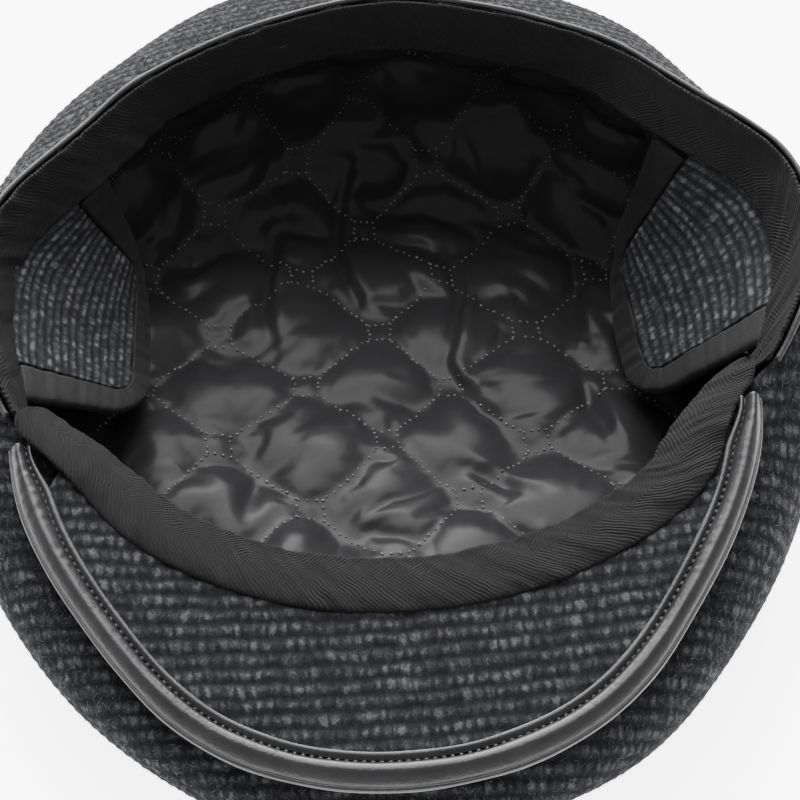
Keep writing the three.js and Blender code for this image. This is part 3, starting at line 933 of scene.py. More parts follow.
# %% Tape and cord
FRONT_TAPE = dict(width=14.6, over=0.6, lift=0.35, dip=2.6, pressed=0.8, reach=64, round=4.2)
FRONT_TAPE_ENDS = dict(lift=1.4, dip=5.4, droop=1.4, tuck=3.6, narrow=0.2)
BACK_TAPE = dict(width=13, inset=2.8, above=0.6, slant=0.14, slant_at_flaps=0.5, reach=115.5, sink=1.6)
TAPE_THICK = 1.1
CORD = dict(radius=0.75, inset=1.4, above=1.15)
RIB = 1.2


def tape_finish(name, turn_at, pitch, lean):
    """Matt cotton tape: ribs whose lean turns round at a distance from its first edge."""
    f = Finish(name, Roughness=0.85, Sheen_Weight=0.015, Sheen_Roughness=0.5, Specular_IOR_Level=0.12)
    cloth = f.cloth()
    sway = f.scaled(f.vector("SUBTRACT", f.noise(cloth, 5.0, 1.0, "Color"), (0.5, 0.5, 0.5)), 1.6)
    parts = f.node("SeparateXYZ", {0: f.vector("ADD", cloth, sway)})
    from_turn = f.sum("ABSOLUTE", f.sum("SUBTRACT", parts.node.outputs[1], turn_at))
    lengthwise = f.sum("SUBTRACT", parts, f.sum("MULTIPLY", from_turn, lean))
    phase = f.sum("MULTIPLY", lengthwise, 2 * math.pi / pitch)
    rib = f.sum("ADD", f.sum("MULTIPLY", f.sum("SINE", phase), 0.5), 0.5)
    threads = f.noise(f.vector("MULTIPLY", cloth, (1.0, 2.6, 1.0)), 0.35, 3.0)
    worn = f.noise(cloth, 6.0, 2.0)
    faint = f.smooth(f.noise(cloth, 9.0, 1.0), 0.35, 0.65)
    # Painted light and shade: the colour is lighter on the ribs' crests and darker in the grooves between
    # them.
    ribs_painted_light = f.blend(f.sum("MULTIPLY", rib, f.blend(faint, 0.35, 1.0)), 0.35, 1.0)
    tone = f.sum("MULTIPLY", f.sum("MULTIPLY", ribs_painted_light, f.blend(threads, 0.4, 1.2)), f.blend(worn, 0.7, 1.25))
    colour = f.colours(tone, (0.1, (0.0011, 0.001, 0.001)), (0.95, (0.0066, 0.0063, 0.0061)))
    height = f.sum("ADD", f.sum("MULTIPLY", rib, f.blend(faint, 0.3, 0.8)), threads)
    return f.finish(colour, None, height, 0.3)


FRONT_TWILL = tape_finish("twill_tape_front", 8.8, RIB, 1.1)
BACK_TWILL = tape_finish("twill_tape_back", 6.0, RIB, 1.1)


def tape_skin(top, along, across, seed):
    """A strip of tape round its upper side: thicker at both selvedges, puckered along them."""
    width = across.max() - across.min()
    from_edge = width / 2 - np.abs(across - across.min() - width / 2)
    selvedge = 0.18 * np.exp(-((from_edge / 0.9) ** 2))
    puckers = 0.4 * ripples(vectors(along + 0.8 * across, 0.35 * across, 0), 8.0, seed)
    fine = 0.16 * ripples(vectors(along + 0.8 * across, 0.4 * across, 0), 3.0, seed + 1)
    height = selvedge + puckers * (0.5 + 0.5 * bell(from_edge, 0, 4)) + fine
    skin = wall(top + normals_of(top) * height[..., None], TAPE_THICK)
    cloth = np.stack(np.broadcast_arrays(along, across), axis=-1)
    near, far = np.repeat(cloth[:, :1], 3, axis=1), np.repeat(cloth[:, -1:], 3, axis=1)
    return skin, np.concatenate([cloth, far, cloth[:, ::-1], near], axis=1)


def make_front_tape():
    """The tape over the peak's seam: offsets from the rim, with both ends rounded. Towards its
    ends it lies higher, gets narrower and bends down into the opening; its right end is tucked
    away from the leather, and its outer edge is pressed down all along."""
    t, ends = FRONT_TAPE, FRONT_TAPE_ENDS
    turn = t["reach"] * np.sin(np.linspace(-np.pi / 2, np.pi / 2, 500))
    turn, across = np.meshgrid(turn, np.linspace(-1, 1, 28), indexing="ij")
    end = np.maximum(0, np.abs(turn) - (t["reach"] - t["round"])) / (t["round"] * 1.03)
    narrow = 1 - ends["narrow"] * ramp(np.abs(turn), 46, 62)
    droop = ends["droop"] * ramp(np.abs(turn), 50, 64) * (1 + 0.35 * np.sign(turn))
    inset = t["width"] / 2 - t["over"] + across * narrow * np.sqrt(1 - end**2) * t["width"] / 2
    inset = inset + ends["tuck"] * ramp(turn, 46, 62) * (1 - across) / 2
    point = near_rim(np.radians(turn - 90), inset, 0)
    from_edge = inset + t["over"]
    clear = mix(t["lift"], ends["lift"], ramp(np.abs(turn), 44, 56)) + TAPE_THICK
    dip = mix(t["dip"], ends["dip"], ramp(np.abs(turn), 40, 56))
    fall = dip * (from_edge / t["width"]) ** 2 + t["pressed"] * np.exp(-from_edge / 1.5) + droop
    top = lay(point, sheet_height(point[..., 0], point[..., 1]) + clear - fall)
    middle = top[:, top.shape[1] // 2]
    along = lengths_along(middle[:, None], 0) - lengths_along(middle[:, None], 0)[-1, 0] / 2
    skin, cloth = tape_skin(top, along, from_edge, 21)
    rows, columns = skin.shape[:2]
    flat = cloth.reshape(-1, 2)
    piece = new_piece("front_tape", skin.reshape(-1, 3), capped(rows, columns), FRONT_TWILL, "twill_tape",
                      ["sweatband_front"], flat)
    return piece, (t["width"] * MM, np.ptp(along) * MM)


def sunk(turn):
    """How far the ends of the back tape and its piping sink, so that they pass under the front
    tape; turn is in degrees from the back of the cap."""
    return BACK_TAPE["sink"] * ramp(np.abs(turn), 108, 115)


def make_back_tape():
    """The tape that stands inside the rim: it leans in further where an ear flap is behind it."""
    t = BACK_TAPE
    turn = np.linspace(-t["reach"], t["reach"], 640)
    turn, down = np.meshgrid(turn, np.linspace(0, t["width"], 20), indexing="ij")
    angle = np.radians(90 + turn)
    slant = mix(t["slant"], t["slant_at_flaps"], along_flaps(angle))
    inset = t["inset"] + down * np.sin(slant) + TAPE_THICK * np.cos(slant)
    drop = -t["above"] + down * np.cos(slant) - TAPE_THICK * np.sin(slant) + sunk(turn)
    top = near_rim(angle, inset, drop)
    middle = top[:, top.shape[1] // 2]
    along = lengths_along(middle[:, None], 0)
    skin, cloth = tape_skin(top, along - along[-1, 0] / 2, down, 31)
    rows, columns = skin.shape[:2]
    flat = cloth.reshape(-1, 2)
    piece = new_piece("back_tape", skin.reshape(-1, 3), capped(rows, columns), BACK_TWILL, "twill_tape",
                      ["sweatband_back"], flat)
    return piece, (t["width"] * MM, along[-1, 0] * MM)


def cord_finish():
    """Smooth grey cord cloth with a fine slanting weave."""
    f = Finish("cord", Roughness=0.6, Specular_IOR_Level=0.25)
    threads = f.noise(f.place(), 0.4, 3.0)
    colour = f.colours(threads, (0.3, (0.0035, 0.0035, 0.004)), (0.75, (0.009, 0.009, 0.0098)))
    return f.finish(colour, None, threads, 0.1)


PIPING = cord_finish()


def make_piping():
    """A thin round cord along the top of the back tape."""
    from_back = np.linspace(-BACK_TAPE["reach"], BACK_TAPE["reach"], 700)[:, None]
    turn = np.radians(90 + from_back)
    around = np.linspace(0, 2 * np.pi, 12, endpoint=False)[None]
    radius = CORD["radius"] * (1 + 0.05 * ripples(rim_at(turn), 5, 41))
    inset = CORD["inset"] - radius * np.cos(around)
    drop = -CORD["above"] - radius * np.sin(around) + sunk(from_back)
    skin = near_rim(turn, inset, drop + 0.2 * ripples(rim_at(turn), 18, 42))
    return new_piece("rim_piping_cord", *with_ends(skin), PIPING, "cord", ["rim_piping"])


front_tape, front_tape_flat = make_front_tape()
back_tape, back_tape_flat = make_back_tape()
piping = make_piping()

# %% [markdown]
# ## The ear flaps
#
# Two wool flaps hang inside from the rim and end in a rounded foot. Their free edge is bound with
# smooth bias tape, folded over it. The panel is worked out from two shares: how far along the rim,
# and how far down. Its rows run the other way from those of the peak, because the flap was cut
# across the cloth.

# %% Flaps and their binding
FLAP = dict(thick=2.6, inset=6.8, drop=10.4, corner_along=0.24, corner_down=0.26)
FLAP_RIM = dict(front=-18, back=36)
FLAP_FOOT = dict(x=61, shift=1.5, bow=2, front=-9, back=49, z=12, rise=5)
EDGE_TAPE = dict(thick=3.2, along=0.13, down=0.14, gap=0.01, start=0.09)
FLAP_CLOTH = 1.16


def flap_surface(side, along, down):
    """The middle of a flap's cloth: straight lines from a stretch of the rim to the flap's foot.
    Side is 1 for the flap at +X and -1 for the one at -X."""
    turn = mix(FLAP_RIM["front"], FLAP_RIM["back"], along)
    top = near_rim(np.radians(turn if side > 0 else 180 - turn), FLAP["inset"], FLAP["drop"])
    to_ends = (2 * along - 1) ** 2
    foot = vectors(
        side * (FLAP_FOOT["x"] + FLAP_FOOT["bow"] * to_ends) + FLAP_FOOT["shift"],
        mix(FLAP_FOOT["front"], FLAP_FOOT["back"], along),
        FLAP_FOOT["z"] + FLAP_FOOT["rise"] * to_ends,
    )
    return mix(top, foot, down[..., None])


def flap_normal(side, along, down):
    """The unit normal of a flap's cloth on the side of the head, from small steps each way."""
    step = 0.004
    a = flap_surface(side, along + step, down) - flap_surface(side, along - step, down)
    d = flap_surface(side, along, down + step) - flap_surface(side, along, down - step)
    return unit(np.cross(a, d)) * side


def flap_reach(along, margin_along, margin_down):
    """How far down the flap goes: a quarter of an ellipse at each corner, straight between."""
    wide = FLAP["corner_along"] - margin_along
    tall = FLAP["corner_down"] - margin_down
    to_corner = np.maximum(0, FLAP["corner_along"] - np.minimum(along, 1 - along))
    return 1 - FLAP["corner_down"] + tall * np.sqrt(np.maximum(0, 1 - (to_corner / wide) ** 2))


def make_flap(name, side):
    """The wool panel of one flap."""
    margin = EDGE_TAPE["along"] + EDGE_TAPE["gap"]
    corner = FLAP["corner_along"] - (FLAP["corner_along"] - margin) * np.cos(np.linspace(0, np.pi / 2, 22))
    straight = np.linspace(corner[-1], 1 - corner[-1], 62)[1:-1]
    along = np.concatenate([corner, straight, 1 - corner[::-1]])[:, None]
    reach = flap_reach(along, margin, EDGE_TAPE["down"] + EDGE_TAPE["gap"])
    down = reach * np.linspace(0, 1, 76)[None]
    along = np.broadcast_to(along, down.shape)
    normal = flap_normal(side, along, down)
    middle = flap_surface(side, along, down)
    width = np.linalg.norm(middle[-1, 0] - middle[0, 0])
    cloth = np.stack([along * width, down * 62], axis=-1) * FLAP_CLOTH
    pillow = 0.5 * np.sin(np.pi * np.clip(along, 0, 1)) + 0.45 * ripples(middle, 22, 50 + side)
    face = middle + normal * (FLAP["thick"] / 2 + pillow)[..., None]
    skin = wall(face[::side], FLAP["thick"])
    cloth = cloth[::side]
    near, far = np.repeat(cloth[:, :1], 3, axis=1), np.repeat(cloth[:, -1:], 3, axis=1)
    cloth = np.concatenate([cloth, far, cloth[:, ::-1], near], axis=1)
    skin = skin + skin_normals(skin) * weave_relief(cloth)[..., None]
    rows, columns = skin.shape[:2]
    piece = new_piece(f"{name}_wool", skin.reshape(-1, 3), capped(rows, columns), FLAP_WOOL_PAINTED_LIGHT, "wool", [name],
                      cloth.reshape(-1, 2))
    return piece, (np.ptp(cloth[..., 0]) * MM / FLAP_CLOTH, np.ptp(cloth[..., 1]) * MM / FLAP_CLOTH)


def bias_finish():
    """Smooth black bias tape with a faint slanting weave."""
    f = Finish("bias_tape", Roughness=0.7, Sheen_Weight=0.03, Specular_IOR_Level=0.25)
    place = f.place()
    threads = f.noise(f.vector("MULTIPLY", place, (1.0, 1.8, 1.0)), 0.5, 3.0)
    colour = f.colours(threads, (0.3, (0.002, 0.002, 0.0023)), (0.8, (0.0065, 0.0065, 0.007)))
    return f.finish(colour, None, threads, 0.12)


BIAS = bias_finish()
BIAS_PROFILE = [
    (0.0, 0.0), (0.04, 0.75), (0.14, 1.3), (0.5, 1.62), (0.9, 1.6), (1.0, 1.25),
    (1.0, -1.25), (0.9, -1.6), (0.5, -1.62), (0.14, -1.3), (0.04, -0.75),
]


def make_binding(name, side):
    """Tape folded over the free edge: a closed profile between the flap's outer edge and the
    tape's inner edge, with small creases where it turns the corners."""
    corner = np.linspace(0, np.pi / 2, 40)
    walk = np.concatenate([np.linspace(EDGE_TAPE["start"], 1 - FLAP["corner_down"], 90)[:-1], 1 + corner])
    straight = walk < 1

    def edge(margin_along, margin_down):
        """Half of the free edge: down the front side and round the corner of the foot."""
        wide, tall = FLAP["corner_along"] - margin_along, FLAP["corner_down"] - margin_down
        along = np.where(straight, margin_along, FLAP["corner_along"] - wide * np.cos(walk - 1))
        down = np.where(straight, walk, 1 - FLAP["corner_down"] + tall * np.sin(walk - 1))
        foot = np.linspace(FLAP["corner_along"], 1 - FLAP["corner_along"], 70)[1:-1]
        whole = np.concatenate([along, foot, 1 - along[::-1]])
        return whole, np.concatenate([down, np.full(len(foot), 1 - margin_down), down[::-1]])

    outer = [value[:, None] for value in edge(0, 0)]
    inner = [value[:, None] for value in edge(EDGE_TAPE["along"], EDGE_TAPE["down"])]
    profile = rounded(BIAS_PROFILE)
    share, off = profile[None, :, 0], profile[None, :, 1]
    along, down = mix(outer[0], inner[0], share), mix(outer[1], inner[1], share)
    middle, normal = flap_surface(side, along, down), flap_normal(side, along, down)
    creases = 1 + 0.16 * ripples(middle[:, :1], 4.5, 60 + side) + 0.05 * ripples(middle, 2.4, 61)
    skin = middle + normal * (off * creases)[..., None]
    length = lengths_along(middle[:, :1], 0)[-1, 0]
    return new_piece(f"{name}_tape", *with_ends(skin), BIAS, "bias_tape", [name]), length


flaps = [make_flap("ear_flap_left", -1), make_flap("ear_flap_right", 1)]
bindings = [make_binding("flap_binding_left", -1), make_binding("flap_binding_right", 1)]

# %% [markdown]
# ## The quilted lining
#
# The lining is satin on thin wadding, sewn to it along diagonal lines that meet in small squares.
# Between the lines there is more satin than the wadding underneath, so it puffs up and crumples.
# A cloth simulation does that best: we start from the smooth bowl, hold it along the
# stitching and the rim, let the cloth grow a little, and blow it up gently. A grid that
# runs round and round would be far too fine at its middle, so a square grid is pressed into a
# disc: the larger of the two coordinates becomes the distance from the middle.

# %% The lining's grid and its stitch lines
QUILT = dict(step=20, y=-8, square=3, pitch=2.15)
LINING_GRID = 149
LINING_SHARES = [0, 0.48, 0.78, 1]
LINING_THICK = 2.4
FOLDS = dict(height=1.9, wave=32, small=0.75, small_wave=13, lift=0.7, drift=2.0, drift_wave=48)


def lining_grid(count):
    """Angles and levels of a square grid pressed into a disc: distance is the larger coordinate,
    and the angle runs evenly along each side of the square. Levels run from 3 at the pole."""
    side = np.linspace(-1, 1, count)
    a, b = np.meshgrid(side, side, indexing="ij")
    reach = np.maximum(np.abs(a), np.abs(b))
    safe = np.maximum(reach, 1e-9)
    along_b = np.where(a > 0, b / safe * np.pi / 4, np.pi - b / safe * np.pi / 4)
    along_a = np.where(b > 0, np.pi / 2 - a / safe * np.pi / 4, a / safe * np.pi / 4 - np.pi / 2)
    angle = np.where(np.abs(a) >= np.abs(b), along_b, along_a)
    level = np.interp(reach, LINING_SHARES, [3, 2, 1, 0])
    return angle, level


def lining_points(angle, level):
    """The smooth bowl of the lining: levels from 2 to 3 run straight across to the pole."""
    pole = np.array([POLE[0], POLE[1], LINING_FLOOR])
    return mix(lining_surface(angle, level), pole, np.clip(level - 2, 0, 1)[..., None])


def lining_cloth(angle, level):
    """Cloth coordinates of the lining: the direction from the pole, and the distance walked from
    it over patch and wall, added up in sixty steps."""
    steps = np.linspace(3, 0, 61)[:, None, None]
    many = np.maximum(steps, level[None])
    walked = lengths_along(lining_points(np.broadcast_to(angle, many.shape), many), 0)[-1]
    away = unit(lining_points(angle, np.minimum(level, 2))[..., :2] - POLE)
    return POLE + away * walked[..., None]


def to_stitches(cloth):
    """Distance in mm to the nearest stitch line: two families of diagonals, and a small square
    round each place where they cross. Inside the squares there are no diagonals."""
    step = QUILT["step"]
    x, y = cloth[..., 0], cloth[..., 1] - QUILT["y"]
    s, t = (x + y) / (2 * step), (x - y) / (2 * step)
    to_lines = np.minimum(np.abs(s - np.round(s)), np.abs(t - np.round(t))) * 2 * step / math.sqrt(2)
    from_x = x - step * (np.round(s) + np.round(t))
    from_y = y - step * (np.round(s) - np.round(t))
    box = np.maximum(np.abs(from_x), np.abs(from_y)) - QUILT["square"]
    return np.minimum(np.abs(box), np.where(box > 0, to_lines, 99))


def normals_up(points):
    """Unit normals of the lining's square grid, turned towards the head."""
    facing = normals_of(points)
    middle = points.shape[0] // 2
    return facing * np.sign(facing[middle, middle, 2])


angle, level = lining_grid(LINING_GRID)
lining_smooth = lining_points(angle, level)
drift = [ripples(lining_smooth, FOLDS["drift_wave"], seed) for seed in (81, 82)]
lining_map = lining_cloth(angle, level) + FOLDS["drift"] * np.stack(drift, axis=-1)
slack = FOLDS["height"] * ripples(lining_smooth, FOLDS["wave"], 71)
slack = slack + FOLDS["small"] * ripples(lining_smooth, FOLDS["small_wave"], 72)
slack = slack * ramp(level, 0.1, 0.7) + FOLDS["height"] * FOLDS["lift"]
lining_back = lining_smooth - normals_up(lining_smooth) * LINING_THICK
lining_smooth = lining_smooth + normals_up(lining_smooth) * slack[..., None]
stitch_distance = to_stitches(lining_map)
print("lining grid", lining_smooth.shape[:2], "mean spacing mm",
      round(float(np.linalg.norm(np.diff(lining_smooth, axis=0), axis=-1).mean()), 2))

# %% Puff it up with a cloth simulation
PUFF = dict(size=6, pressure=18, growth=0.02, frames=20, most=5.0, least=-0.3)


def puffed(smooth, held):
    """Runs Blender's cloth on a grid that is held where held is 1, and returns the moved grid. The
    cloth grows by a share of its size, and pressure pushes it towards the head."""
    rows, columns = smooth.shape[:2]
    mesh = bpy.data.meshes.new("puff")
    faces = grid_faces(rows, columns)
    mesh.from_pydata((smooth.reshape(-1, 3) * MM * PUFF["size"]).tolist(), [], faces.tolist())
    sheet = bpy.data.objects.new("puff", mesh)
    bpy.context.scene.collection.objects.link(sheet)
    group = sheet.vertex_groups.new(name="held")
    weights = np.round(held.ravel(), 1)
    for weight in np.unique(weights[weights > 0]):
        group.add(np.flatnonzero(weights == weight).tolist(), float(weight), "REPLACE")
    cloth = sheet.modifiers.new("cloth", "CLOTH").settings
    cloth.quality = 6
    cloth.mass = 0.15
    cloth.tension_stiffness = cloth.compression_stiffness = 12
    cloth.shear_stiffness = 4
    cloth.bending_stiffness = 0.12
    cloth.air_damping = 2
    cloth.vertex_group_mass = "held"
    cloth.pin_stiffness = 1
    cloth.shrink_min = -PUFF["growth"]
    cloth.use_pressure = True
    cloth.uniform_pressure_force = PUFF["pressure"]
    cloth.effector_weights.gravity = 0
    scene = bpy.context.scene
    for frame_number in range(1, PUFF["frames"] + 1):
        scene.frame_set(frame_number)
    moved = sheet.evaluated_get(bpy.context.evaluated_depsgraph_get()).data
    result = np.empty(rows * columns * 3)
    moved.vertices.foreach_get("co", result)
    scene.frame_set(1)
    bpy.data.objects.remove(sheet)
    bpy.data.meshes.remove(mesh)
    shift = result.reshape(smooth.shape) / MM / PUFF["size"] - smooth
    size = np.linalg.norm(shift, axis=-1, keepdims=True)
    shift = shift * np.minimum(1, PUFF["most"] / np.maximum(size, 1e-9))
    up = normals_up(smooth)
    height = (shift * up).sum(axis=-1, keepdims=True)
    return smooth + shift + up * (np.maximum(height, PUFF["least"]) - height)


def held_places():
    """1 on the stitch lines and round the rim, falling to 0 beside them."""
    border = 1 - ramp(level, 0.02, 0.2)
    return np.maximum(1 - ramp(stitch_distance, 0.7, 1.8), border)


PLEATS = [
    dict(start=(-5, 96), end=(-6, 56), depth=2.2),
    dict(start=(-10, 62), end=(-3, 44), depth=1.6),
    dict(start=(-24, 78), end=(-27, 27), depth=2.2),
    dict(start=(25, 58), end=(23, 22), depth=2.0),
    dict(start=(23, 18), end=(31, 0), depth=2.2),
    dict(start=(56, 62), end=(51, 18), depth=2.0),
    dict(start=(54, 18), end=(59, -12), depth=2.4),
    dict(start=(-60, 66), end=(-66, 20), depth=2.0),
    dict(start=(21, -18), end=(33, -24), depth=1.6),
    dict(start=(31, -38), end=(43, -50), depth=2.0),
]


def pleated(points, cloth):
    """Presses pleats into the satin: each follows a line that sways a little. The cloth rises
    softly on one side, drops sharply across the line and climbs back slowly on the other, and
    both ends fade out."""
    height = 0
    for pleat in PLEATS:
        start, end = np.array(pleat["start"]), np.array(pleat["end"])
        length = np.linalg.norm(end - start)
        away = cloth - start
        along = away @ ((end - start) / length)
        aside = away @ (np.array([end[1] - start[1], start[0] - end[0]]) / length)
        aside = aside + 1.6 * np.sin(along / 9.0 + start[0])
        fade = ramp(along, -8, length * 0.4) * (1 - ramp(along, length * 0.6, length + 8))
        drop = 0.5 * (1 - np.tanh(aside / 0.75))
        shape = 0.9 * drop * bell(aside, 0, 4.5) - (1 - drop) * bell(aside, 0.6, 2.2)
        height = height + pleat["depth"] * shape * fade
    return points + normals_up(lining_smooth) * height[..., None]


def kept_above(points, least=2.3, soft=0.6):
    """Keeps the satin clear of the wool under it. Its height above its backing, less the least
    height, is averaged with the root of its own square plus a softness squared: never negative."""
    up = normals_up(lining_back)
    height = ((points - lining_back) * up).sum(axis=-1, keepdims=True) - least
    return points + up * ((np.sqrt(height**2 + soft**2) - height) / 2)


lining_shape = puffed(lining_smooth, held_places())
lining_shape = kept_above(pleated(lining_shape, lining_map))
moved = np.linalg.norm(lining_shape - lining_smooth, axis=-1)
print(f"satin moved {moved.mean():.2f} mm on average and {moved.max():.2f} at most")

# %% [markdown]
# ## Satin
#
# Black satin is hardly coloured at all: what we see of it is gloss. Its threads float along one
# direction, which gives broad lights with clear edges. The base is nearly black, the roughness
# low and slightly uneven, and a faint bump a few millimetres wide breaks the mirror up.

# %% The satin lining and its stitches


def satin_finish():
    """Black satin."""
    f = Finish("satin_lining", Roughness=0.28, Specular_IOR_Level=0.064)
    place = f.place()
    roughness = f.sum("ADD", f.sum("MULTIPLY", f.noise(place, 11.0, 2.0), 0.1), 0.24)
    patches = f.noise(place, 20.0, 2.0)
    colour = f.colours(patches, (0.3, (0.0125, 0.0125, 0.0132)), (0.7, (0.016, 0.016, 0.0168)))
    return f.finish(colour, roughness, f.noise(place, 2.2, 1.0), 0.05)


SATIN = satin_finish()
# The lining's thread is made mid-grey, lighter than its own dark grey: a painted highlight for the glint of
# its beads.
LINING_THREAD_PAINTED_GLINT = thread_finish("lining_thread_painted_glint", 0.11, 0.3)
BACK_STEP = 4


def square_border(count):
    """Numbers of the grid's border points, once round."""
    k = np.arange(count - 1)
    last = count - 1
    sides = [k * count, last * count + k, (last - k) * count + last, last - k]
    return np.concatenate(sides)


def make_lining():
    """Satin in front, a coarse backing behind it and a strip that joins them at the rim. In the
    strip every long edge of the backing faces four short edges of the satin."""
    front = lining_shape
    behind = lining_back[::BACK_STEP, ::BACK_STEP]
    count, few = front.shape[0], behind.shape[0]
    points = np.concatenate([front.reshape(-1, 3), behind.reshape(-1, 3)])
    fine, coarse = square_border(count), square_border(few) + count * count
    k = np.arange(len(coarse))
    short = [fine[(BACK_STEP * k + step) % len(fine)] for step in range(BACK_STEP, -1, -1)]
    strip = np.stack([coarse[k], coarse[(k + 1) % len(coarse)], *short], axis=-1)
    back = grid_faces(few, few)[:, ::-1] + count * count
    cloth = np.concatenate([lining_map.reshape(-1, 2), lining_map[::BACK_STEP, ::BACK_STEP].reshape(-1, 2)])
    piece = new_piece("satin_lining", points, [grid_faces(count, count), back, strip], SATIN, "satin_lining",
                      ["lining"], cloth)
    finer = piece.modifiers.new("finer", "SUBSURF")
    finer.levels = finer.render_levels = 1
    return piece


def stitch_places():
    """Cloth coordinates of all stitches: twelve round each small square, and a row along each
    diagonal between two squares."""
    step, half, pitch = QUILT["step"], QUILT["square"], QUILT["pitch"]
    side = np.linspace(-half, half, 4)[:-1]
    ring = np.concatenate([
        np.stack([side, np.full(3, -half)], axis=-1),
        np.stack([np.full(3, half), side], axis=-1),
        np.stack([-side, np.full(3, half)], axis=-1),
        np.stack([np.full(3, -half), -side], axis=-1),
    ])
    row = np.arange(half + pitch / 1.6, 2 * step - half - step, pitch / math.sqrt(2))
    one = np.concatenate([ring, np.stack([row, row], axis=-1), np.stack([row, -row], axis=-1)])
    i, j = np.meshgrid(np.arange(-9, 10), np.arange(-9, 10), indexing="ij")
    even = (i + j) % 2 == 0
    crossings = np.stack([i[even] * step, j[even] * step + QUILT["y"]], axis=-1)
    return (crossings[:, None] + one[None]).reshape(-1, 2)


def on_lining(places):
    """Points and normals of the lining at cloth coordinates, from its four nearest grid points,
    each weighted by one over its squared distance. Also gives the nearest distance, which is huge
    at the top edge that hides behind the tape, and the level there."""
    known = np.where((level < 0.3)[..., None], 999, lining_map).reshape(-1, 2)
    spots, facing = lining_shape.reshape(-1, 3), normals_up(lining_shape).reshape(-1, 3)
    squared = (places**2).sum(axis=1)[:, None] + (known**2).sum(axis=1)[None] - 2 * places @ known.T
    nearest = np.argpartition(squared, 4, axis=1)[:, :4]
    close = np.take_along_axis(squared, nearest, axis=1)
    weight = 1 / np.maximum(close, 0.01)
    weight = (weight / weight.sum(axis=1, keepdims=True))[..., None]
    up = unit((facing[nearest] * weight).sum(axis=1))
    return (spots[nearest] * weight).sum(axis=1), up, close.min(axis=1), level.ravel()[nearest[:, 0]]


def stitch_lining():
    """A bead of thread at every stitch, each a little different in size and place, and smaller on
    the wall, where the satin swallows more of it."""
    draw = np.random.default_rng(8)
    exact = stitch_places()
    places = exact + draw.normal(0, 0.16, exact.shape)
    centre, up, distance, depth = on_lining(places)
    shown = distance < 2
    centre, up, depth = centre[shown], up[shown], depth[shown]
    size = draw.uniform(0.65, 1.05, len(centre)) * (0.45 + 0.55 * ramp(depth, 0.8, 1.7))
    aside = unit(np.cross(up, [0.3, 1.0, 0.1]))
    axes = frames(aside, up, size, size * 0.8)
    points, faces = scatter(grain(5, 3), centre + up * 0.12, axes)
    return new_piece("lining_stitches", points, faces, LINING_THREAD_PAINTED_GLINT, "satin_lining")


lining = make_lining()
lining_stitches = stitch_lining()

# %% [markdown]
# ## Floor, light and camera
#
# The cap lies on a plain pale floor that glows, like a light table, and comes out nearly white.
# One big soft light stands high behind it and a lower one further back, so that the wool outside
# the back wall is bright and the inside stays dark. A little light comes from all round. The
# camera is a long lens, high in front of the cap and slightly to one side.

# %% Floor


def pale_floor():
    """A wide plane just below the cap."""
    f = Finish("pale_floor", Roughness=0.9, Emission_Strength=5.5)
    f.surface.inputs["Emission Color"].default_value = (1, 1, 1, 1)
    f.surface.inputs["Base Color"].default_value = (0.86, 0.86, 0.86, 1)
    half, drop = 6.0, -0.0006
    corners = np.array([(x * half, y * half, drop) for x, y in [(-1, -1), (1, -1), (1, 1), (-1, 1)]])
    mesh = bpy.data.meshes.new("floor")
    mesh.from_pydata(corners.tolist(), [], [(0, 1, 2, 3)])
    floor = bpy.data.objects.new("floor", mesh)
    bpy.context.scene.collection.objects.link(floor)
    mesh.materials.append(f.material)
    return floor


floor = pale_floor()

# %% Lights
HIGH = dict(strength=7.5, angle=50, from_back=26, from_side=-4)
LOW = dict(strength=18.0, angle=55, from_back=72, from_side=-3)
ALL_ROUND = 1.25


def soft_sun(name, strength, angle, from_back, from_side):
    """A broad sun: its rays come from a wide disc of sky, so every shadow is soft. The two angles
    say how far it stands from overhead."""
    light = bpy.data.lights.new(name, "SUN")
    light.energy = strength
    light.angle = math.radians(angle)
    lamp = bpy.data.objects.new(name, light)
    lamp.rotation_euler = (math.radians(-from_back), math.radians(from_side), 0)
    bpy.context.scene.collection.objects.link(lamp)
    return lamp


def pale_world(strength):
    """Even light from all round."""
    world = bpy.data.worlds.new("studio")
    world.use_nodes = True
    background = world.node_tree.nodes["Background"]
    background.inputs["Color"].default_value = (1, 1, 1, 1)
    background.inputs["Strength"].default_value = strength
    bpy.context.scene.world = world


window = soft_sun("window", **HIGH)
glow = soft_sun("glow_behind", **LOW)
pale_world(ALL_ROUND)

# %% Camera
CAMERA = dict(target=(0.02, -29.82, 43.2), distance=740.19, up=46.39, aside=-7.45, roll=4.16, lens=138.0)


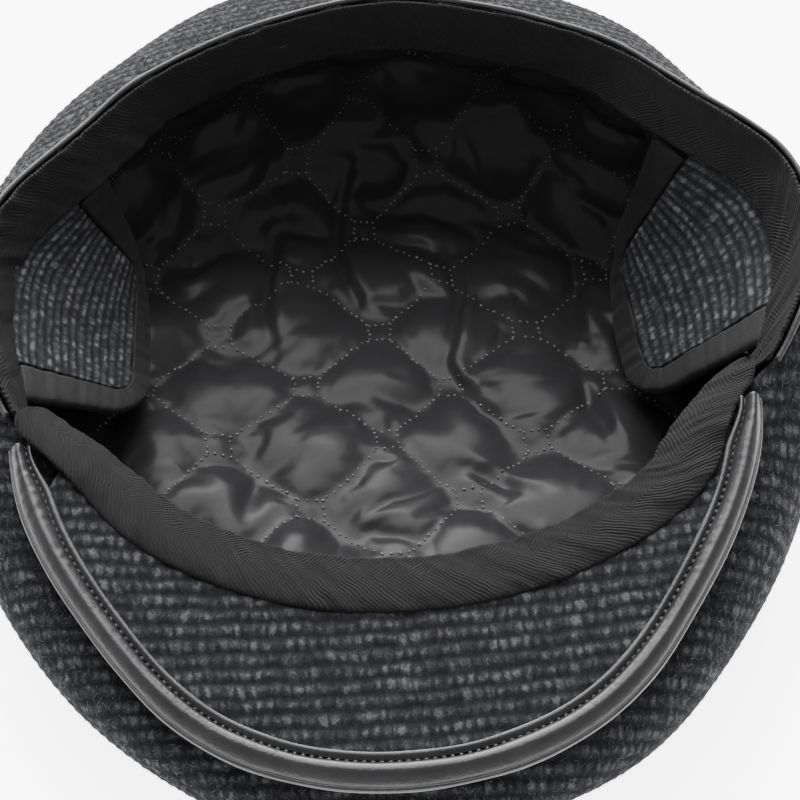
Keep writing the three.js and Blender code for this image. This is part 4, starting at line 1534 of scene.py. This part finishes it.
def place_camera():
    """A camera on a sphere round its target: the height angle and the side angle give the way
    back, and the roll turns the picture."""
    up_angle, aside, roll = (math.radians(CAMERA[key]) for key in ("up", "aside", "roll"))
    back = np.array([
        math.sin(aside) * math.cos(up_angle),
        -math.cos(aside) * math.cos(up_angle),
        math.sin(up_angle),
    ])
    right = unit(np.cross(-back, [0, 0, 1]))
    upward = np.cross(right, -back)
    x_axis = right * math.cos(roll) + upward * math.sin(roll)
    y_axis = upward * math.cos(roll) - right * math.sin(roll)
    spot = (np.array(CAMERA["target"]) + back * CAMERA["distance"]) * MM
    matrix = np.eye(4)
    matrix[:3] = np.stack([x_axis, y_axis, back, spot], axis=-1)
    data = bpy.data.cameras.new("camera")
    data.lens = CAMERA["lens"]
    data.sensor_width = 36
    data.clip_start, data.clip_end = 0.05, 60
    camera = bpy.data.objects.new("camera", data)
    camera.matrix_world = Matrix(matrix.tolist())
    bpy.context.scene.collection.objects.link(camera)
    bpy.context.scene.camera = camera
    return camera


camera = place_camera()

# %% [markdown]
# ## Printing the size of the cloth
#
# For each sheet of cloth, the size it was cut to is printed. The crown's and the tapes' sizes are
# measured along the formulas. The flaps' are only the reach of their weave coordinates: the panels
# are about 10 mm wider than that. The peak's area and the width of each strip that is folded over
# an edge are read back from the finished layers, so those follow the mesh and can't show whether
# it was stretched.


def layer_area(piece):
    """The area of one layer of a closed piece in square metres: half of its skin."""
    areas = np.empty(len(piece.data.polygons))
    piece.data.polygons.foreach_get("area", areas)
    return float(areas.sum() / 2)


def cloth_size(piece):
    """How far the cloth coordinates of a piece reach both ways, in metres."""
    reach = np.empty(len(piece.data.loops) * 2)
    piece.data.uv_layers["cloth"].data.foreach_get("uv", reach)
    return np.ptp(reach.reshape(-1, 2), axis=0)


def declare(piece, flat, held, cut=1.0):
    """Says the flat size of one sheet and prints how its layer compares with the cut."""
    wide, long = (float(side) for side in flat)
    print(piece.name, held, "flat", round(wide, 4), round(long, 4), "layer over cut",
          round(layer_area(piece) / (wide * long * cut), 3))


def declare_strip(piece, length, hem):
    """A strip that is folded in two over an edge: its length in mm, and its folded width, which is
    that of its layer plus the hem that is turned under."""
    declare(piece, (layer_area(piece) / (length * MM) + hem * MM, length * MM), "folded")


declare(crown, crown_flat, "gathered", cut=0.785)
peak_flat = cloth_size(peak)
declare(peak, peak_flat, "stretched", cut=layer_area(peak) / np.prod(peak_flat))
declare_strip(leather, leather_length, 1.5)
declare(front_tape, front_tape_flat, "laid")
declare(back_tape, back_tape_flat, "laid")
for (flap, flap_flat), (binding, binding_length) in zip(flaps, bindings):
    declare(flap, flap_flat, "hung", cut=0.95)
    declare_strip(binding, binding_length, 2.5)
